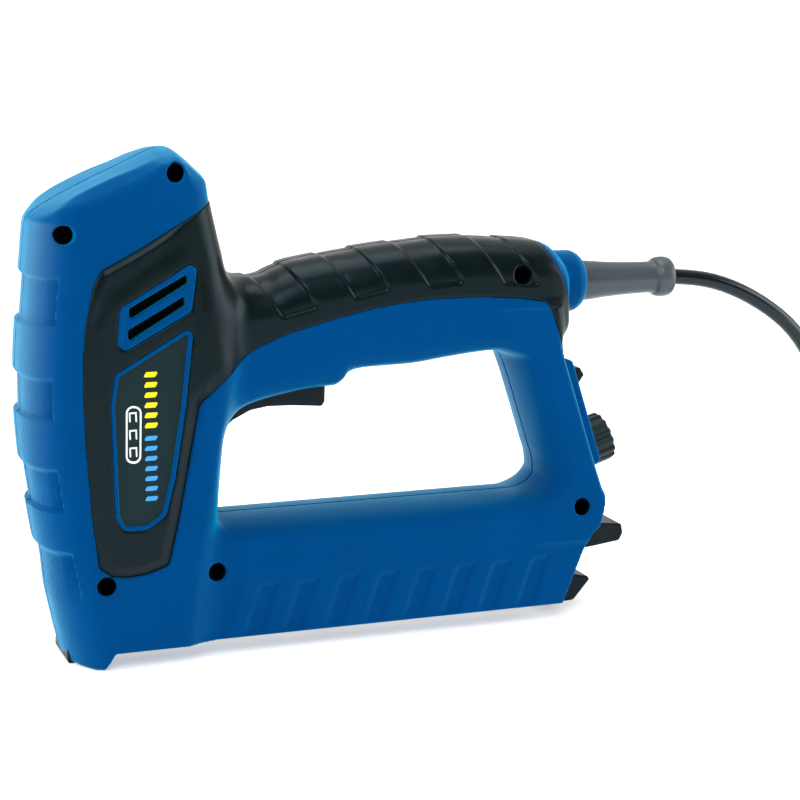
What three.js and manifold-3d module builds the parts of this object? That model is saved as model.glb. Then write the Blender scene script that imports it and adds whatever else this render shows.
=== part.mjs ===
// Mains electric stapler: closed D handle, head with a solenoid drive, slide-out staple magazine.
// Millimetres, +Z up. +X runs from the head to the cord, the left side faces -Y.
// Pieces are drawn from the front of the head (x = 0) and moved by CENTRE_X at the end,
// so that the origin is under the middle of the tool, on the surface that the nose stands on.
import * as THREE from 'three';
import { mergeVertices } from 'three/addons/utils/BufferGeometryUtils.js';
import Module from 'manifold-3d';

const wasm = await Module();
wasm.setup();

// ---- driving dimensions ----
const CENTRE_X = 122.75; // from the front of the head to the middle of the tool
const SEAM = 0.15; // half the gap between the two shells
const HEAD_T = 24; // half width of the head
const BASE_T = 19.5; // half width of the base and of the rear strut
const HANDLE_T = 17; // half width of the handle
const WALL = 2.6; // shell wall
const SKIN = 1.7; // overmould thickness
const GAP = 0.3; // clearance between pieces
const BASE_Z = 5.7; // underside of the housing
const DRIVE_X = 27; // axis of the solenoid
const BLADE_X = 21.6; // driver blade
const STROKE = 15.5; // plunger stroke
const CORD_R = 2.8; // mains cord
const CORD_Z = 117; // height of the cord exit

// ---- colours ----
const BLUE = 0x0b5aa8;
const GRIP = 0x2a3231;
const BLACK = 0x17191a;
const STEEL = 0xb4b7ba;
const DARK_STEEL = 0x5a5e62;

const tool = new THREE.Group();
tool.position.x = -CENTRE_X;

// ---- solids ----
function toSolid(geometry) {
  const g = geometry.index ? geometry.toNonIndexed() : geometry;
  g.deleteAttribute('normal');
  g.deleteAttribute('uv');
  const m = mergeVertices(g, 1e-4);
  return new wasm.Manifold(new wasm.Mesh({
    numProp: 3,
    vertProperties: new Float32Array(m.attributes.position.array),
    triVerts: new Uint32Array(m.index.array),
  }));
}

function toGeometry(solid) {
  const mesh = solid.getMesh();
  const g = new THREE.BufferGeometry();
  g.setAttribute('position', new THREE.BufferAttribute(new Float32Array(mesh.vertProperties), 3));
  g.setIndex(new THREE.BufferAttribute(new Uint32Array(mesh.triVerts), 1));
  return g;
}

// corners [u, v, r] -> points, each corner with r rounded by an arc
function outline(corners, steps = 3) {
  const out = [];
  const n = corners.length;
  corners.forEach(([u, v, r = 0], i) => {
    const [pu, pv] = corners[(i + n - 1) % n];
    const [nu, nv] = corners[(i + 1) % n];
    const a = new THREE.Vector2(pu - u, pv - v);
    const b = new THREE.Vector2(nu - u, nv - v);
    const la = a.length();
    const lb = b.length();
    a.normalize();
    b.normalize();
    const half = Math.acos(THREE.MathUtils.clamp(a.dot(b), -1, 1)) / 2;
    const cut = Math.min(r / Math.tan(half), la * 0.49, lb * 0.49);
    if (r === 0 || cut < 0.05) {
      out.push(new THREE.Vector2(u, v));
      return;
    }
    const p = new THREE.Vector2(u + a.x * cut, v + a.y * cut);
    const q = new THREE.Vector2(u + b.x * cut, v + b.y * cut);
    for (let k = 0; k <= steps; k += 1) {
      const t = k / steps;
      const s = 1 - t;
      const w = 2 * s * t * Math.sin(half) + s * s + t * t;
      out.push(new THREE.Vector2(
        (s * s * p.x + 2 * s * t * Math.sin(half) * u + t * t * q.x) / w,
        (s * s * p.y + 2 * s * t * Math.sin(half) * v + t * t * q.y) / w,
      ));
    }
  });
  return out;
}

// outline in x and z, extruded from y0 to y1; bevel [inset, depth] rounds both ends
function prismGeometry(corners, y0, y1, bevel = null, steps = 3) {
  const shape = new THREE.Shape(outline(corners, steps));
  const size = bevel ? bevel[0] : 0;
  const deep = bevel ? bevel[1] : 0;
  const g = new THREE.ExtrudeGeometry(shape, {
    depth: y1 - y0 - 2 * deep,
    bevelEnabled: Boolean(bevel),
    bevelSize: size,
    bevelOffset: -size,
    bevelThickness: deep,
    bevelSegments: 2,
    steps: 1,
  });
  g.rotateX(Math.PI / 2);
  g.translate(0, y1 - deep, 0);
  return g;
}

function prism(corners, y0, y1, bevel, steps) {
  return toSolid(prismGeometry(corners, y0, y1, bevel, steps));
}

function boxGeometry(x0, x1, y0, y1, z0, z1) {
  const g = new THREE.BoxGeometry(x1 - x0, y1 - y0, z1 - z0);
  g.translate((x0 + x1) / 2, (y0 + y1) / 2, (z0 + z1) / 2);
  return g;
}

function box(x0, x1, y0, y1, z0, z1) {
  return toSolid(boxGeometry(x0, x1, y0, y1, z0, z1));
}

// turned piece: profile of [radius, height] starting and ending on the axis
function turnedGeometry(profile, seg = 16) {
  const g = new THREE.LatheGeometry(profile.map(([r, h]) => new THREE.Vector2(r, h)), seg);
  g.rotateX(Math.PI / 2);
  return g;
}

function along(axis, g, x, y, z) {
  if (axis === 'x') {
    g.rotateY(Math.PI / 2);
  }
  if (axis === 'y') {
    g.rotateX(-Math.PI / 2);
  }
  g.translate(x, y, z);
  return g;
}

function turned(axis, profile, x, y, z, seg) {
  const s = toSolid(along(axis, turnedGeometry(profile, seg), x, y, z));
  return s;
}

function rod(axis, r, length, x, y, z, seg = 12) {
  return turned(axis, [[0, 0], [r, 0], [r, length], [0, length]], x, y, z, seg);
}

function tubeGeometry(points, r, sides = 8, steps = 24) {
  const ring = [];
  for (let k = 0; k < sides; k += 1) {
    const a = (k / sides) * 2 * Math.PI;
    ring.push(new THREE.Vector2(r * Math.cos(a), r * Math.sin(a)));
  }
  const path = new THREE.CatmullRomCurve3(points.map((p) => new THREE.Vector3(...p)));
  return new THREE.ExtrudeGeometry(new THREE.Shape(ring), { extrudePath: path, steps });
}

class Helix extends THREE.Curve {
  constructor(r, length, turns) {
    super();
    this.r = r;
    this.length = length;
    this.turns = turns;
  }

  getPoint(t, target = new THREE.Vector3()) {
    const a = t * this.turns * 2 * Math.PI;
    return target.set(this.r * Math.cos(a), this.r * Math.sin(a), t * this.length);
  }
}

function springGeometry(r, wire, length, turns) {
  const ring = [];
  for (let k = 0; k < 4; k += 1) {
    const a = (k / 4) * 2 * Math.PI;
    ring.push(new THREE.Vector2(wire * Math.cos(a), wire * Math.sin(a)));
  }
  const path = new Helix(r, length, turns);
  return new THREE.ExtrudeGeometry(new THREE.Shape(ring), { extrudePath: path, steps: turns * 8 });
}

function add(name, shape, color, roughness, metalness = 0, group = tool) {
  const geometry = shape.isBufferGeometry ? shape : toGeometry(shape);
  const mesh = new THREE.Mesh(geometry, new THREE.MeshStandardMaterial({ color, roughness, metalness }));
  mesh.name = name;
  group.add(mesh);
  return mesh;
}

function union(list) {
  return list.reduce((sum, s) => sum.add(s));
}

// closed skin through rings of equal length, each ring convex
function loft(rings) {
  const n = rings[0].length;
  const position = [];
  const index = [];
  rings.forEach((ring) => ring.forEach((p) => position.push(...p)));
  for (let i = 0; i + 1 < rings.length; i += 1) {
    for (let k = 0; k < n; k += 1) {
      const a = i * n + k;
      const b = i * n + ((k + 1) % n);
      if (k < n / 2) {
        index.push(a, b, a + n, b, b + n, a + n);
      } else {
        index.push(a, b, b + n, a, b + n, a + n);
      }
    }
  }
  const last = (rings.length - 1) * n;
  for (let k = 1; k + 1 < n; k += 1) {
    index.push(0, k + 1, k, last, last + k, last + k + 1);
  }
  const g = new THREE.BufferGeometry();
  g.setAttribute('position', new THREE.BufferAttribute(new Float32Array(position), 3));
  g.setIndex(index);
  const solid = new wasm.Manifold(new wasm.Mesh({
    numProp: 3, vertProperties: new Float32Array(position), triVerts: new Uint32Array(index),
  }));
  if (solid.volume() > 0) {
    return solid;
  }
  for (let k = 0; k < index.length; k += 3) {
    [index[k], index[k + 1]] = [index[k + 1], index[k]];
  }
  return new wasm.Manifold(new wasm.Mesh({
    numProp: 3, vertProperties: new Float32Array(position), triVerts: new Uint32Array(index),
  }));
}

// rounded section: u from u0 to u1, v from -t to t, corners [ru, rv] at the u0 and the u1 end
function rounded(u0, u1, t, low, high, steps = 3) {
  const out = [];
  const corner = (cu, cv, ru, rv, from) => {
    for (let k = 0; k <= steps; k += 1) {
      const a = from + (k / steps) * (Math.PI / 2);
      out.push([cu + ru * Math.cos(a), cv + rv * Math.sin(a)]);
    }
  };
  corner(u1 - high[0], t - high[1], high[0], high[1], 0);
  corner(u0 + low[0], t - low[1], low[0], low[1], Math.PI / 2);
  corner(u0 + low[0], low[1] - t, low[0], low[1], Math.PI);
  corner(u1 - high[0], high[1] - t, high[0], high[1], 1.5 * Math.PI);
  return out;
}

// ---- housing body: head, handle, base and strut ----
// head: [z, front x, rear x]; the raised bands round its front are steps in the front x
const HEAD = [
  [-4, 19.6, 66], [22, 13.8, 66.8], [39, 10.8, 68], [41, 9.3, 68], [53.4, 7.6, 68.6], [54.6, 8.9, 68.6],
  [67, 7.3, 69.5], [69.2, 5.8, 69.7], [83.4, 5.3, 72.4], [84.6, 6.7, 72.5], [97, 6.9, 73.2],
  [98.4, 5.5, 73.3], [113.2, 6.5, 74.2], [114.6, 8, 74.2], [128, 9.6, 74.6], [129.6, 8.3, 74.4],
  [140, 9.5, 73.4], [148, 10.4, 70.4], [160, 12, 68.8], [176, 14, 66],
];
// top of the head, as seen from the side
const ROOF = [
  [-9, -20], [-9, 133.4], [11.4, 146.8], [22, 153.8], [35.3, 160.4], [52.5, 168.3], [58, 167.2],
  [68.8, 159], [80, 147.6], [90, 136], [90, -20],
];
// handle: [x, underside z, top z, half width]
const HANDLE = [
  [58, 74, 150, 20], [69, 76.4, 148, 19], [72, 78, 143.6, 18], [74.6, 80, 133, 17.4],
  [77, 81.4, 127.6, HANDLE_T], [81, 83.6, 125.2, HANDLE_T], [88, 86, 125.4, HANDLE_T],
  [98, 86.8, 129, HANDLE_T], [111, 87.4, 131.4, HANDLE_T], [116, 91.6, 132, HANDLE_T],
  [120, 92.8, 132.6, HANDLE_T], [137, 93, 134.2, HANDLE_T], [152, 94.6, 135, HANDLE_T],
  [165, 96.2, 134.6, HANDLE_T], [178, 96.4, 133.6, HANDLE_T], [187, 96.8, 132.2, 16.6],
  [193, 98, 128.8, 15], [196.6, 101, 128, 13], [199.4, 104.4, 127.6, 11.6], [203.4, 107, 126, 10.6],
  [205.4, 110, 123, 8],
];
// strut: [z, front x, rear x]
const STRUT = [
  [33, 180, 206], [41, 181, 208.5], [43.6, 184, 207.8], [46, 187.4, 207], [50, 189.6, 205.8],
  [56, 188.4, 204], [88, 178.6, 193.8], [93, 176.4, 192.4], [96, 172.6, 191.6], [104, 166, 189.4],
  [110, 164, 186],
];
// underside and slanted rear end of the base
const REAR_CUT = [
  [-9, BASE_Z], [193, BASE_Z], [200.4, 24.2], [203.6, 30.4], [206.4, 32.4], [208.5, 41], [220, 46],
  [220, 200], [-9, 200],
];

// stations that stay when the bands don't matter
const HEAD_PLAIN = HEAD.filter(([z]) => [-4, 39, 67, 97, 128, 148, 176].includes(z));
const HANDLE_PLAIN = HANDLE.filter(([x]) => ![69, 77, 88, 116, 152, 178, 199.4].includes(x));

function headSolid(d, steps = 3) {
  const rings = (d ? HEAD_PLAIN : HEAD).map(([z, x0, x1]) => rounded(x0 + d, x1 - d, HEAD_T - d, [13, 19 - d], [4, 5], steps)
    .map(([x, y]) => [x, y, z]));
  const drop = [[-1, 3.4], [-0.55, 1], [0, 0], [0.55, 1], [1, 3.4]];
  const roof = loft(drop.map(([k, down]) => ROOF.map(([x, z]) => [x, k * HEAD_T, z - down - d])));
  return loft(rings).intersect(roof);
}

function handleSolid(d, steps = 3) {
  return loft((d ? HANDLE_PLAIN : HANDLE).map(([x, z0, z1, t]) => {
    const h = (z1 - z0) / 2 - d;
    const w = t - d;
    return rounded(z0 + d, z1 - d, w, [h * 0.42, w * 0.5], [h * 0.62, w * 0.75], steps).map(([z, y]) => [x, y, z]);
  }));
}

function strutSolid(d, steps = 3) {
  return loft(STRUT.map(([z, x0, x1]) => rounded(x0 + d, x1 - d, BASE_T - 0.6 - d, [6, 9], [3, 4], steps)
    .map(([x, y]) => [x, y, z])));
}

function baseSolid(d) {
  return loft([50 + d, 214].map((x) => rounded(-4, 43.2 - d, BASE_T - d, [1, 1], [5, 6])
    .map(([z, y]) => [x, y, z])));
}

function bodySolid(d, steps) {
  return union([headSolid(d, steps), handleSolid(d, steps), strutSolid(d, steps), baseSolid(d)])
    .intersect(prism(REAR_CUT, -30, 30));
}

const body = bodySolid(0);
const bodyUnderSkin = bodySolid(SKIN + 2 * GAP, 2);
const bodySkinBack = bodySolid(SKIN, 2);

// ---- cavities ----
const PANEL_HOLE = [[200.6, 51.6], [209, 53.4], [210, 56], [196.4, 91], [188, 92]];
const TRIGGER_SLOT = [[66, 70], [74.2, 70], [78, 79], [112.6, 79], [112.6, 96], [66, 96]];
const rooms = union([
  union([headSolid(3.9), handleSolid(SKIN + 2 * GAP + WALL, 2), strutSolid(WALL, 1)])
    .intersect(box(-9, 201.4, -30, 30, BASE_Z + WALL, 200)),
  prism(PANEL_HOLE, -11.3, 11.3),
  prism(TRIGGER_SLOT, -7.7, 7.7),
  box(58, 196, WALL - BASE_T, BASE_T - WALL, 21.5, 40.4),
  box(18, 64, -13, 13, -6, 22),
  box(24, 214, -10.2, 10.2, -2, 20.4),
  box(190.5, 214, -9.9, 9.9, 20.3, 31.3),
  rod('x', 8.3, 3.8, 194.8, 0, CORD_Z, 16),
  rod('x', 7.4, 14, 196, 0, CORD_Z, 16),
]);

function offset(corners, d) {
  const n = corners.length;
  let area = 0;
  corners.forEach(([u, v], i) => {
    const [nu, nv] = corners[(i + 1) % n];
    area += u * nv - nu * v;
  });
  const s = area > 0 ? 1 : -1;
  const edges = corners.map(([u, v], i) => {
    const [nu, nv] = corners[(i + 1) % n];
    const l = Math.hypot(nu - u, nv - v);
    return { nx: (-(nv - v) / l) * s, ny: ((nu - u) / l) * s };
  });
  return corners.map(([u, v, r = 0], i) => {
    const a = edges[(i + n - 1) % n];
    const b = edges[i];
    const k = 1 + a.nx * b.nx + a.ny * b.ny;
    return [u + ((a.nx + b.nx) * d) / k, v + ((a.ny + b.ny) * d) / k, r];
  });
}

// ---- screws and their posts: [x, z, y of the recess floor] ----
const SCREWS = [
  [18.9, 142.4, -15], [54.8, 160.4, -14], [28.9, 28.6, -15],
  [66.4, 29.2, -12], [176.6, 122.2, -9], [198.6, 39.8, -12],
];
const POST_R = 3.9;
const RECESS_R = 3.2;

function postsFor(side) {
  return union(SCREWS.map(([x, z, y]) => (side < 0
    ? rod('y', POST_R, 30 + SEAM, x, -30, z, 12).subtract(box(0, 220, -SEAM, 5, 0, 200))
    : rod('y', POST_R, 30, x, SEAM, z, 12))));
}

const pinPosts = [-1, 1].map((side) => rod('y', 4.6, 14, 62.5, side < 0 ? -23 : 9, 86.5, 12));

function shell(side) {
  const half = side < 0 ? box(-10, 230, -40, -SEAM, -5, 200) : box(-10, 230, SEAM, 40, -5, 200);
  const inner = union([postsFor(side), pinPosts[side < 0 ? 0 : 1]]).intersect(body).intersect(half);
  let s = body.intersect(half).subtract(rooms).add(inner);
  SCREWS.forEach(([x, z, y]) => {
    if (side < 0) {
      s = s.subtract(rod('y', RECESS_R, 30, x, y - 30, z, 12));
      s = s.subtract(rod('y', 1.8, 30, x, y - 1, z, 10));
    } else {
      s = s.subtract(rod('y', 1.8, 12, x, -1, z, 10));
    }
  });
  return s.subtract(rod('y', 2.3, 30, 62.5, -15, 86.5, 10));
}

// ---- overmould outline on the sides, with windows for the vent and the badge ----
const GRIP_EDGE = [
  [63.9, 150.2], [42.1, 137.7], [29.3, 131.2, 2], [26.6, 125, 3], [23.2, 104], [22.8, 88],
  [23.6, 66], [26.2, 34, 3], [33, 31], [42, 31.2], [50, 33.4, 3], [54.4, 52], [58.4, 72],
  [61.4, 87, 4], [69.4, 93.6], [79.7, 101.4], [92, 106.2], [109, 110.8], [131.8, 114.8],
  [150, 115.8], [168, 115], [184.6, 112.6, 2], [190.6, 97.4], [193, 91], [202, 98], [204.4, 108],
  [195.6, 109.4], [190.4, 124], [186, 140], [140, 150], [84, 150], [72, 152],
];
const VENT_WINDOW = [
  [35.4, 118.8, 2], [58, 131.4, 1.5], [59.8, 130.2, 1], [58.4, 117.4, 1.5], [37.2, 106, 1.5],
  [34.2, 107.8, 1.5],
];
const BADGE_WINDOW = [
  [33.2, 98.6, 2], [56.2, 111, 1], [58.2, 109.8, 1], [55.4, 85.9], [51.6, 62.9], [48, 50.4, 3],
  [42.6, 47], [35, 47.2, 2], [32.2, 52], [31.6, 88],
];
const VENT_SLOTS = [
  [[38.2, 118.7], [57.2, 128.8], [57.2, 126], [38.3, 115.2]],
  [[37.9, 111.7], [56.2, 121.6], [56.4, 119], [37.9, 108.2]],
];

function sideRegion(side, corners, y) {
  return side < 0 ? prism(corners, -40, -y) : prism(corners, y, 40);
}

function gripRegion(side, grow) {
  const edge = grow === 0 ? GRIP_EDGE : offset(GRIP_EDGE, -grow);
  let g = sideRegion(side, edge, -3);
  [VENT_WINDOW, BADGE_WINDOW].forEach((w) => {
    g = g.subtract(sideRegion(side, grow === 0 ? offset(w, -GAP) : w, 12));
  });
  return g;
}

for (const side of [-1, 1]) {
  const name = side < 0 ? 'left' : 'right';
  const half = side < 0 ? box(-10, 230, -40, -SEAM, -5, 200) : box(-10, 230, SEAM, 40, -5, 200);
  const notBore = side < 0
    ? union(SCREWS.map(([x, z, y]) => rod('y', RECESS_R, 30, x, y - 30, z, 12)))
    : box(-20, -19, 0, 1, 0, 1);
  const cutGrip = gripRegion(side, GAP).subtract(bodyUnderSkin);
  let s = shell(side).subtract(cutGrip);
  VENT_SLOTS.forEach((slot) => {
    s = s.subtract(sideRegion(side, slot, 12));
  });
  const recess = offset(BADGE_WINDOW, 1.3);
  s = s.subtract(side < 0 ? prism(recess, -40, 1.1 - HEAD_T) : prism(recess, HEAD_T - 1.1, 40));
  add(`${name}_housing_shell`, s, BLUE, 0.42);
  const grip = gripRegion(side, 0).intersect(body).intersect(half).subtract(bodySkinBack)
    .subtract(notBore);
  add(`${name}_grip_overmould`, grip, GRIP, 0.75);
  const plate = offset(BADGE_WINDOW, 1.3 + GAP);
  const y0 = side < 0 ? 0.25 - HEAD_T : HEAD_T - 0.8;
  add(`${name}_badge_plate`, prismGeometry(plate, y0, y0 + 0.55), 0x2f3e42, 0.5);
}

// ---- screws ----
SCREWS.forEach(([x, z, y], i) => {
  const profile = [[0, 0], [2.7, 0], [2.7, 2.2], [1.5, 2.2], [1.5, 20], [0, 21]];
  add(`housing_screw_${i + 1}`, along('y', turnedGeometry(profile, 10), x, y - 2.5, z), DARK_STEEL, 0.35, 1);
});

// ---- rear control panel with rocker switch and power dial ----
// the strut's rear face leans forward: u runs up along it, w points away from it
const LEAN = Math.atan2(205.2 - 192.2, 93 - 52);
const DIAL_U = 5.2;
const rear = new THREE.Group();
rear.position.set(205.2, 0, 52);
rear.rotation.y = -LEAN;
tool.add(rear);
let panel = prism([[0.3, -0.2], [4.6, 0.8, 1.5], [4.6, 39, 2.5], [1.6, 41.6, 1], [0.3, 41]], -12, 12, [0.35, 0.6]);
panel = panel.subtract(box(-1, 8, -7.1, 7.1, 20.1, 37.5));
panel = panel.subtract(rod('x', 3.4, 12, -2, 0, DIAL_U, 14));
add('rear_control_panel', panel, BLUE, 0.42, 0, rear);
let rockerBody = box(-8.5, 4.2, -6.8, 6.8, 20.4, 37.2);
rockerBody = rockerBody.subtract(box(-3.5, 6, -5.9, 5.9, 21.3, 36.3));
add('rocker_switch_body', rockerBody, BLACK, 0.5, 0, rear);
const key = [
  [-2.6, 26.4], [2.2, 22.1], [5.2, 22.2, 0.4], [5.8, 27], [9.6, 30.8, 0.5], [8.8, 34, 0.5], [3, 34.4], [-2.6, 31.4],
];
add('rocker_switch_key', prismGeometry(key, -5.5, 5.5), BLACK, 0.35, 0, rear);
const dial = [];
const RIDGES = 14;
for (let k = 0; k < RIDGES * 2; k += 1) {
  const a = (k / (RIDGES * 2)) * 2 * Math.PI;
  const r = k % 2 ? 8.2 : 9;
  dial.push(new THREE.Vector2(r * Math.cos(a), r * Math.sin(a)));
}
const dialShape = new THREE.ExtrudeGeometry(new THREE.Shape(dial), {
  depth: 6.2, bevelEnabled: true, bevelSize: 0.9, bevelOffset: -0.9, bevelThickness: 0.9, bevelSegments: 1, steps: 1,
});
dialShape.rotateY(Math.PI / 2);
dialShape.translate(5.8, 0, DIAL_U);
let dialSolid = toSolid(dialShape).subtract(rod('x', 2.3, 6, 4, 0, DIAL_U, 12));
dialSolid = dialSolid.subtract(box(11.4, 14, -0.6, 0.6, DIAL_U + 3, DIAL_U + 10));
add('power_dial', dialSolid, BLACK, 0.45, 0, rear);
add('potentiometer_shaft', rod('x', 2, 17.6, -8, 0, DIAL_U, 12), STEEL, 0.3, 1, rear);
const pot = box(-11, -5, -7, 7, DIAL_U - 7, DIAL_U + 7).subtract(rod('x', 2.3, 8, -8.6, 0, DIAL_U, 12));
add('potentiometer_body', pot, 0x3a5a78, 0.5, 0, rear);

// ---- trigger, its pin and spring, and the microswitch ----
const TRIGGER_X = 62.5;
const TRIGGER_Z = 86.5;
const TRIGGER = [
  [TRIGGER_X - 4, 84, 2], [69.4, 79.6], [73.6, 74.4, 0.6], [76.6, 77.3], [82.6, 80.2], [88.7, 81],
  [103.6, 80.2], [107.2, 79.7, 1], [108.8, 81.4, 1], [109.2, 90, 1], [107, 95.4, 0.6], [100, 95.4],
  [97, 93], [72, 90.4], [TRIGGER_X - 3, 91, 2],
];
let trigger = prism(TRIGGER, -7.2, 7.2, [0.35, 0.6]);
trigger = trigger.subtract(rod('y', 2.2, 30, TRIGGER_X, -15, TRIGGER_Z, 10));
add('trigger', trigger, BLACK, 0.4);
add('trigger_pin', along('y', turnedGeometry([[0, 0], [1.9, 0], [1.9, 26], [0, 26]], 12),
  TRIGGER_X, -13, TRIGGER_Z), STEEL, 0.3, 1);
const triggerSpring = springGeometry(2.6, 0.35, 15, 5);
triggerSpring.translate(80, 0, 92.6);
add('trigger_spring', triggerSpring, STEEL, 0.3, 1);
add('microswitch_body', boxGeometry(88, 108, -3.3, 3.3, 102, 112.4), BLACK, 0.5);
const lever = [[88.6, 100.6], [89.4, 100], [107.4, 97], [107.5, 97.6], [89.6, 100.9]];
add('microswitch_lever', prismGeometry(lever, -2.2, 2.2), STEEL, 0.3, 1);

// ---- solenoid drive ----
const FRAME_Z = [62, 108];
const PLUNGER_R = 7.2;
let frame = box(DRIVE_X - 14, DRIVE_X + 14, -9.8, 9.8, ...FRAME_Z);
frame = frame.subtract(box(DRIVE_X - 11.6, DRIVE_X + 11.6, -12, 12, FRAME_Z[0] + 4, FRAME_Z[1] - 4));
frame = frame.subtract(rod('z', PLUNGER_R + 0.4, 80, DRIVE_X, 0, 50, 20));
add('solenoid_frame', frame, DARK_STEEL, 0.5, 1);

function ringAbout(profile, seg = 20) {
  const g = new THREE.LatheGeometry(profile.map(([r, h]) => new THREE.Vector2(r, h)), seg);
  g.rotateX(Math.PI / 2);
  g.translate(DRIVE_X, 0, 0);
  return g;
}
const COIL_Z = [FRAME_Z[0] + 4.3, FRAME_Z[1] - 4.3];
add('coil_bobbin', ringAbout([
  [7.6, COIL_Z[0]], [11.3, COIL_Z[0]], [11.3, COIL_Z[0] + 1.5], [8.8, COIL_Z[0] + 1.5],
  [8.8, COIL_Z[1] - 1.5], [11.3, COIL_Z[1] - 1.5], [11.3, COIL_Z[1]], [7.6, COIL_Z[1]], [7.6, COIL_Z[0]],
]), 0xd9d5c8, 0.6);
add('coil_winding', ringAbout([
  [9.1, COIL_Z[0] + 1.8], [11.1, COIL_Z[0] + 1.8], [11.1, COIL_Z[1] - 1.8], [9.1, COIL_Z[1] - 1.8],
  [9.1, COIL_Z[0] + 1.8],
]), 0xa5572b, 0.4, 1);
const PLUNGER_Z = [70, 131.6];
let plunger = turned('z', [
  [0, PLUNGER_Z[0]], [PLUNGER_R, PLUNGER_Z[0]], [PLUNGER_R, PLUNGER_Z[1]], [9.6, PLUNGER_Z[1]],
  [9.6, PLUNGER_Z[1] + 1.8], [0, PLUNGER_Z[1] + 1.8],
], DRIVE_X, 0, 0, 20);
plunger = plunger.subtract(box(BLADE_X - 0.9, BLADE_X + 0.9, -9, 9, 60, 78.4));
add('plunger', plunger, STEEL, 0.3, 1);
const blade = union([
  box(BLADE_X - 0.6, BLADE_X + 0.6, -5.2, 5.2, 16.2, 60),
  box(BLADE_X - 0.6, BLADE_X + 0.6, -3.4, 3.4, 59, 78),
]);
add('driver_blade', blade, STEEL, 0.25, 1);
const plungerSpring = springGeometry(8.7, 0.6, PLUNGER_Z[1] - FRAME_Z[1] - 1.8, 5);
plungerSpring.translate(DRIVE_X, 0, FRAME_Z[1] + 0.9);
add('plunger_spring', plungerSpring, STEEL, 0.3, 1);
add('top_bumper', rod('z', 6, 3, DRIVE_X, 0, PLUNGER_Z[1] + 2.2, 16), BLACK, 0.9);
let bumper = rod('z', 9, 5.6, DRIVE_X, 0, PLUNGER_Z[0] - STROKE - 6.2, 20);
bumper = bumper.subtract(box(BLADE_X - 12, BLADE_X + 1.2, -5.6, 5.6, 40, 60));
add('bottom_bumper', bumper, BLACK, 0.9);
const NOSE = [
  [15.2, 5.3], [16.2, 2.2, 1], [18.6, 0, 1], [20.7, 0], [20.7, 43.8], [17.4, 43.8], [17.4, 37],
  [19.9, 27], [19.9, 5.3],
];
add('nose_front_plate', prismGeometry(NOSE, -10.5, 10.5), 0x1d1f20, 0.45, 0.6);
const NOSE_BACK = [[22.5, 21], [24.5, 21], [24.5, 43.8], [22.5, 43.8]];
add('nose_back_plate', prismGeometry(NOSE_BACK, -10, 10), STEEL, 0.35, 1);

// ---- magazine ----
const MAG_X = [25, 189.6];
function section(corners, x0, x1) {
  const g = new THREE.ExtrudeGeometry(new THREE.Shape(corners.map(([y, z]) => new THREE.Vector2(y, z))), {
    depth: x1 - x0, bevelEnabled: false, steps: 1,
  });
  g.rotateX(Math.PI / 2);
  g.rotateZ(Math.PI / 2);
  g.translate(x0, 0, 0);
  return g;
}
function mirrored(halfCorners) {
  return [...halfCorners, ...halfCorners.slice().reverse().map(([y, z]) => [-y, z])];
}
const CHANNEL = [[0, 19.1], [8.8, 19.1], [8.8, 6.2], [9.8, 6.2], [9.8, 20.1], [0, 20.1]];
add('magazine_channel', section(mirrored(CHANNEL), ...MAG_X), STEEL, 0.4, 1);
const TRAY = [
  [0, 4.3], [8.4, 4.3], [8.4, 17.6], [7.5, 17.6], [7.5, 5.2], [4.4, 5.2], [4.4, 13.4], [3.7, 13.4],
  [3.7, 5.2], [0, 5.2],
];
add('magazine_tray', section(mirrored(TRAY), ...MAG_X), STEEL, 0.35, 1);
const STAPLES = [[0, 13.9], [4.8, 13.9], [4.8, 5.6], [5.5, 5.6], [5.5, 14.6], [0, 14.6]];
add('staple_strip', section(mirrored(STAPLES), 23, 81.8), 0xc9cccf, 0.3, 1);
const PUSHER = [
  [0, 6.2], [3.3, 6.2], [3.3, 13.8], [4.8, 13.8], [4.8, 6.2], [6.6, 6.2], [6.6, 16.4], [0, 16.4],
];
let pusher = toSolid(section(mirrored(PUSHER), 82.4, 94));
pusher = pusher.subtract(rod('x', 1.5, 20, 80, 0, 9.4, 10));
add('pusher', pusher, STEEL, 0.35, 1);
add('pusher_rod', rod('x', 1.1, 150, 40, 0, 9.4, 8), STEEL, 0.3, 1);
const pusherSpring = springGeometry(2.4, 0.35, 94.6, 10);
pusherSpring.rotateY(Math.PI / 2);
pusherSpring.translate(94.6, 0, 9.4);
add('pusher_spring', pusherSpring, STEEL, 0.3, 1);
const CAP = [
  [190, 4.2], [197, 3.4], [201, 4, 1], [206.4, 10.4, 0.6], [205.8, 11.4, 0.4], [199.6, 13], [196.8, 17.8], [190, 17.8],
];
let endCap = prism(CAP, -9, 9, [0.3, 0.6]);
endCap = endCap.subtract(rod('x', 1.5, 2, 189, 0, 9.4, 10));
add('magazine_end_cap', endCap, BLACK, 0.45);

// ---- magazine latch ----
const LATCH = [
  [192.6, 18.4], [194.4, 18.4], [195.4, 21.4], [203, 22.2], [217.8, 24.1, 1], [218.8, 27, 1],
  [218.2, 29.8, 1], [210, 30.8], [200, 30.2], [189.8, 29.6, 0.6], [189.8, 27.6, 0.6], [192.6, 27],
];
let latch = prism(LATCH, -8.8, 8.8, [0.4, 0.6]);
latch = latch.subtract(rod('y', 1.5, 30, 198, -15, 26, 10));
add('magazine_latch', latch, BLACK, 0.45);
add('latch_pin', along('y', turnedGeometry([[0, 0], [1.2, 0], [1.2, 19.2], [0, 19.2]], 10), 198, -9.6, 26),
  STEEL, 0.3, 1);
const latchSpring = springGeometry(1.8, 0.3, 9, 4);
latchSpring.translate(192.1, 0, 30.3);
add('latch_spring', latchSpring, STEEL, 0.3, 1);

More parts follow.
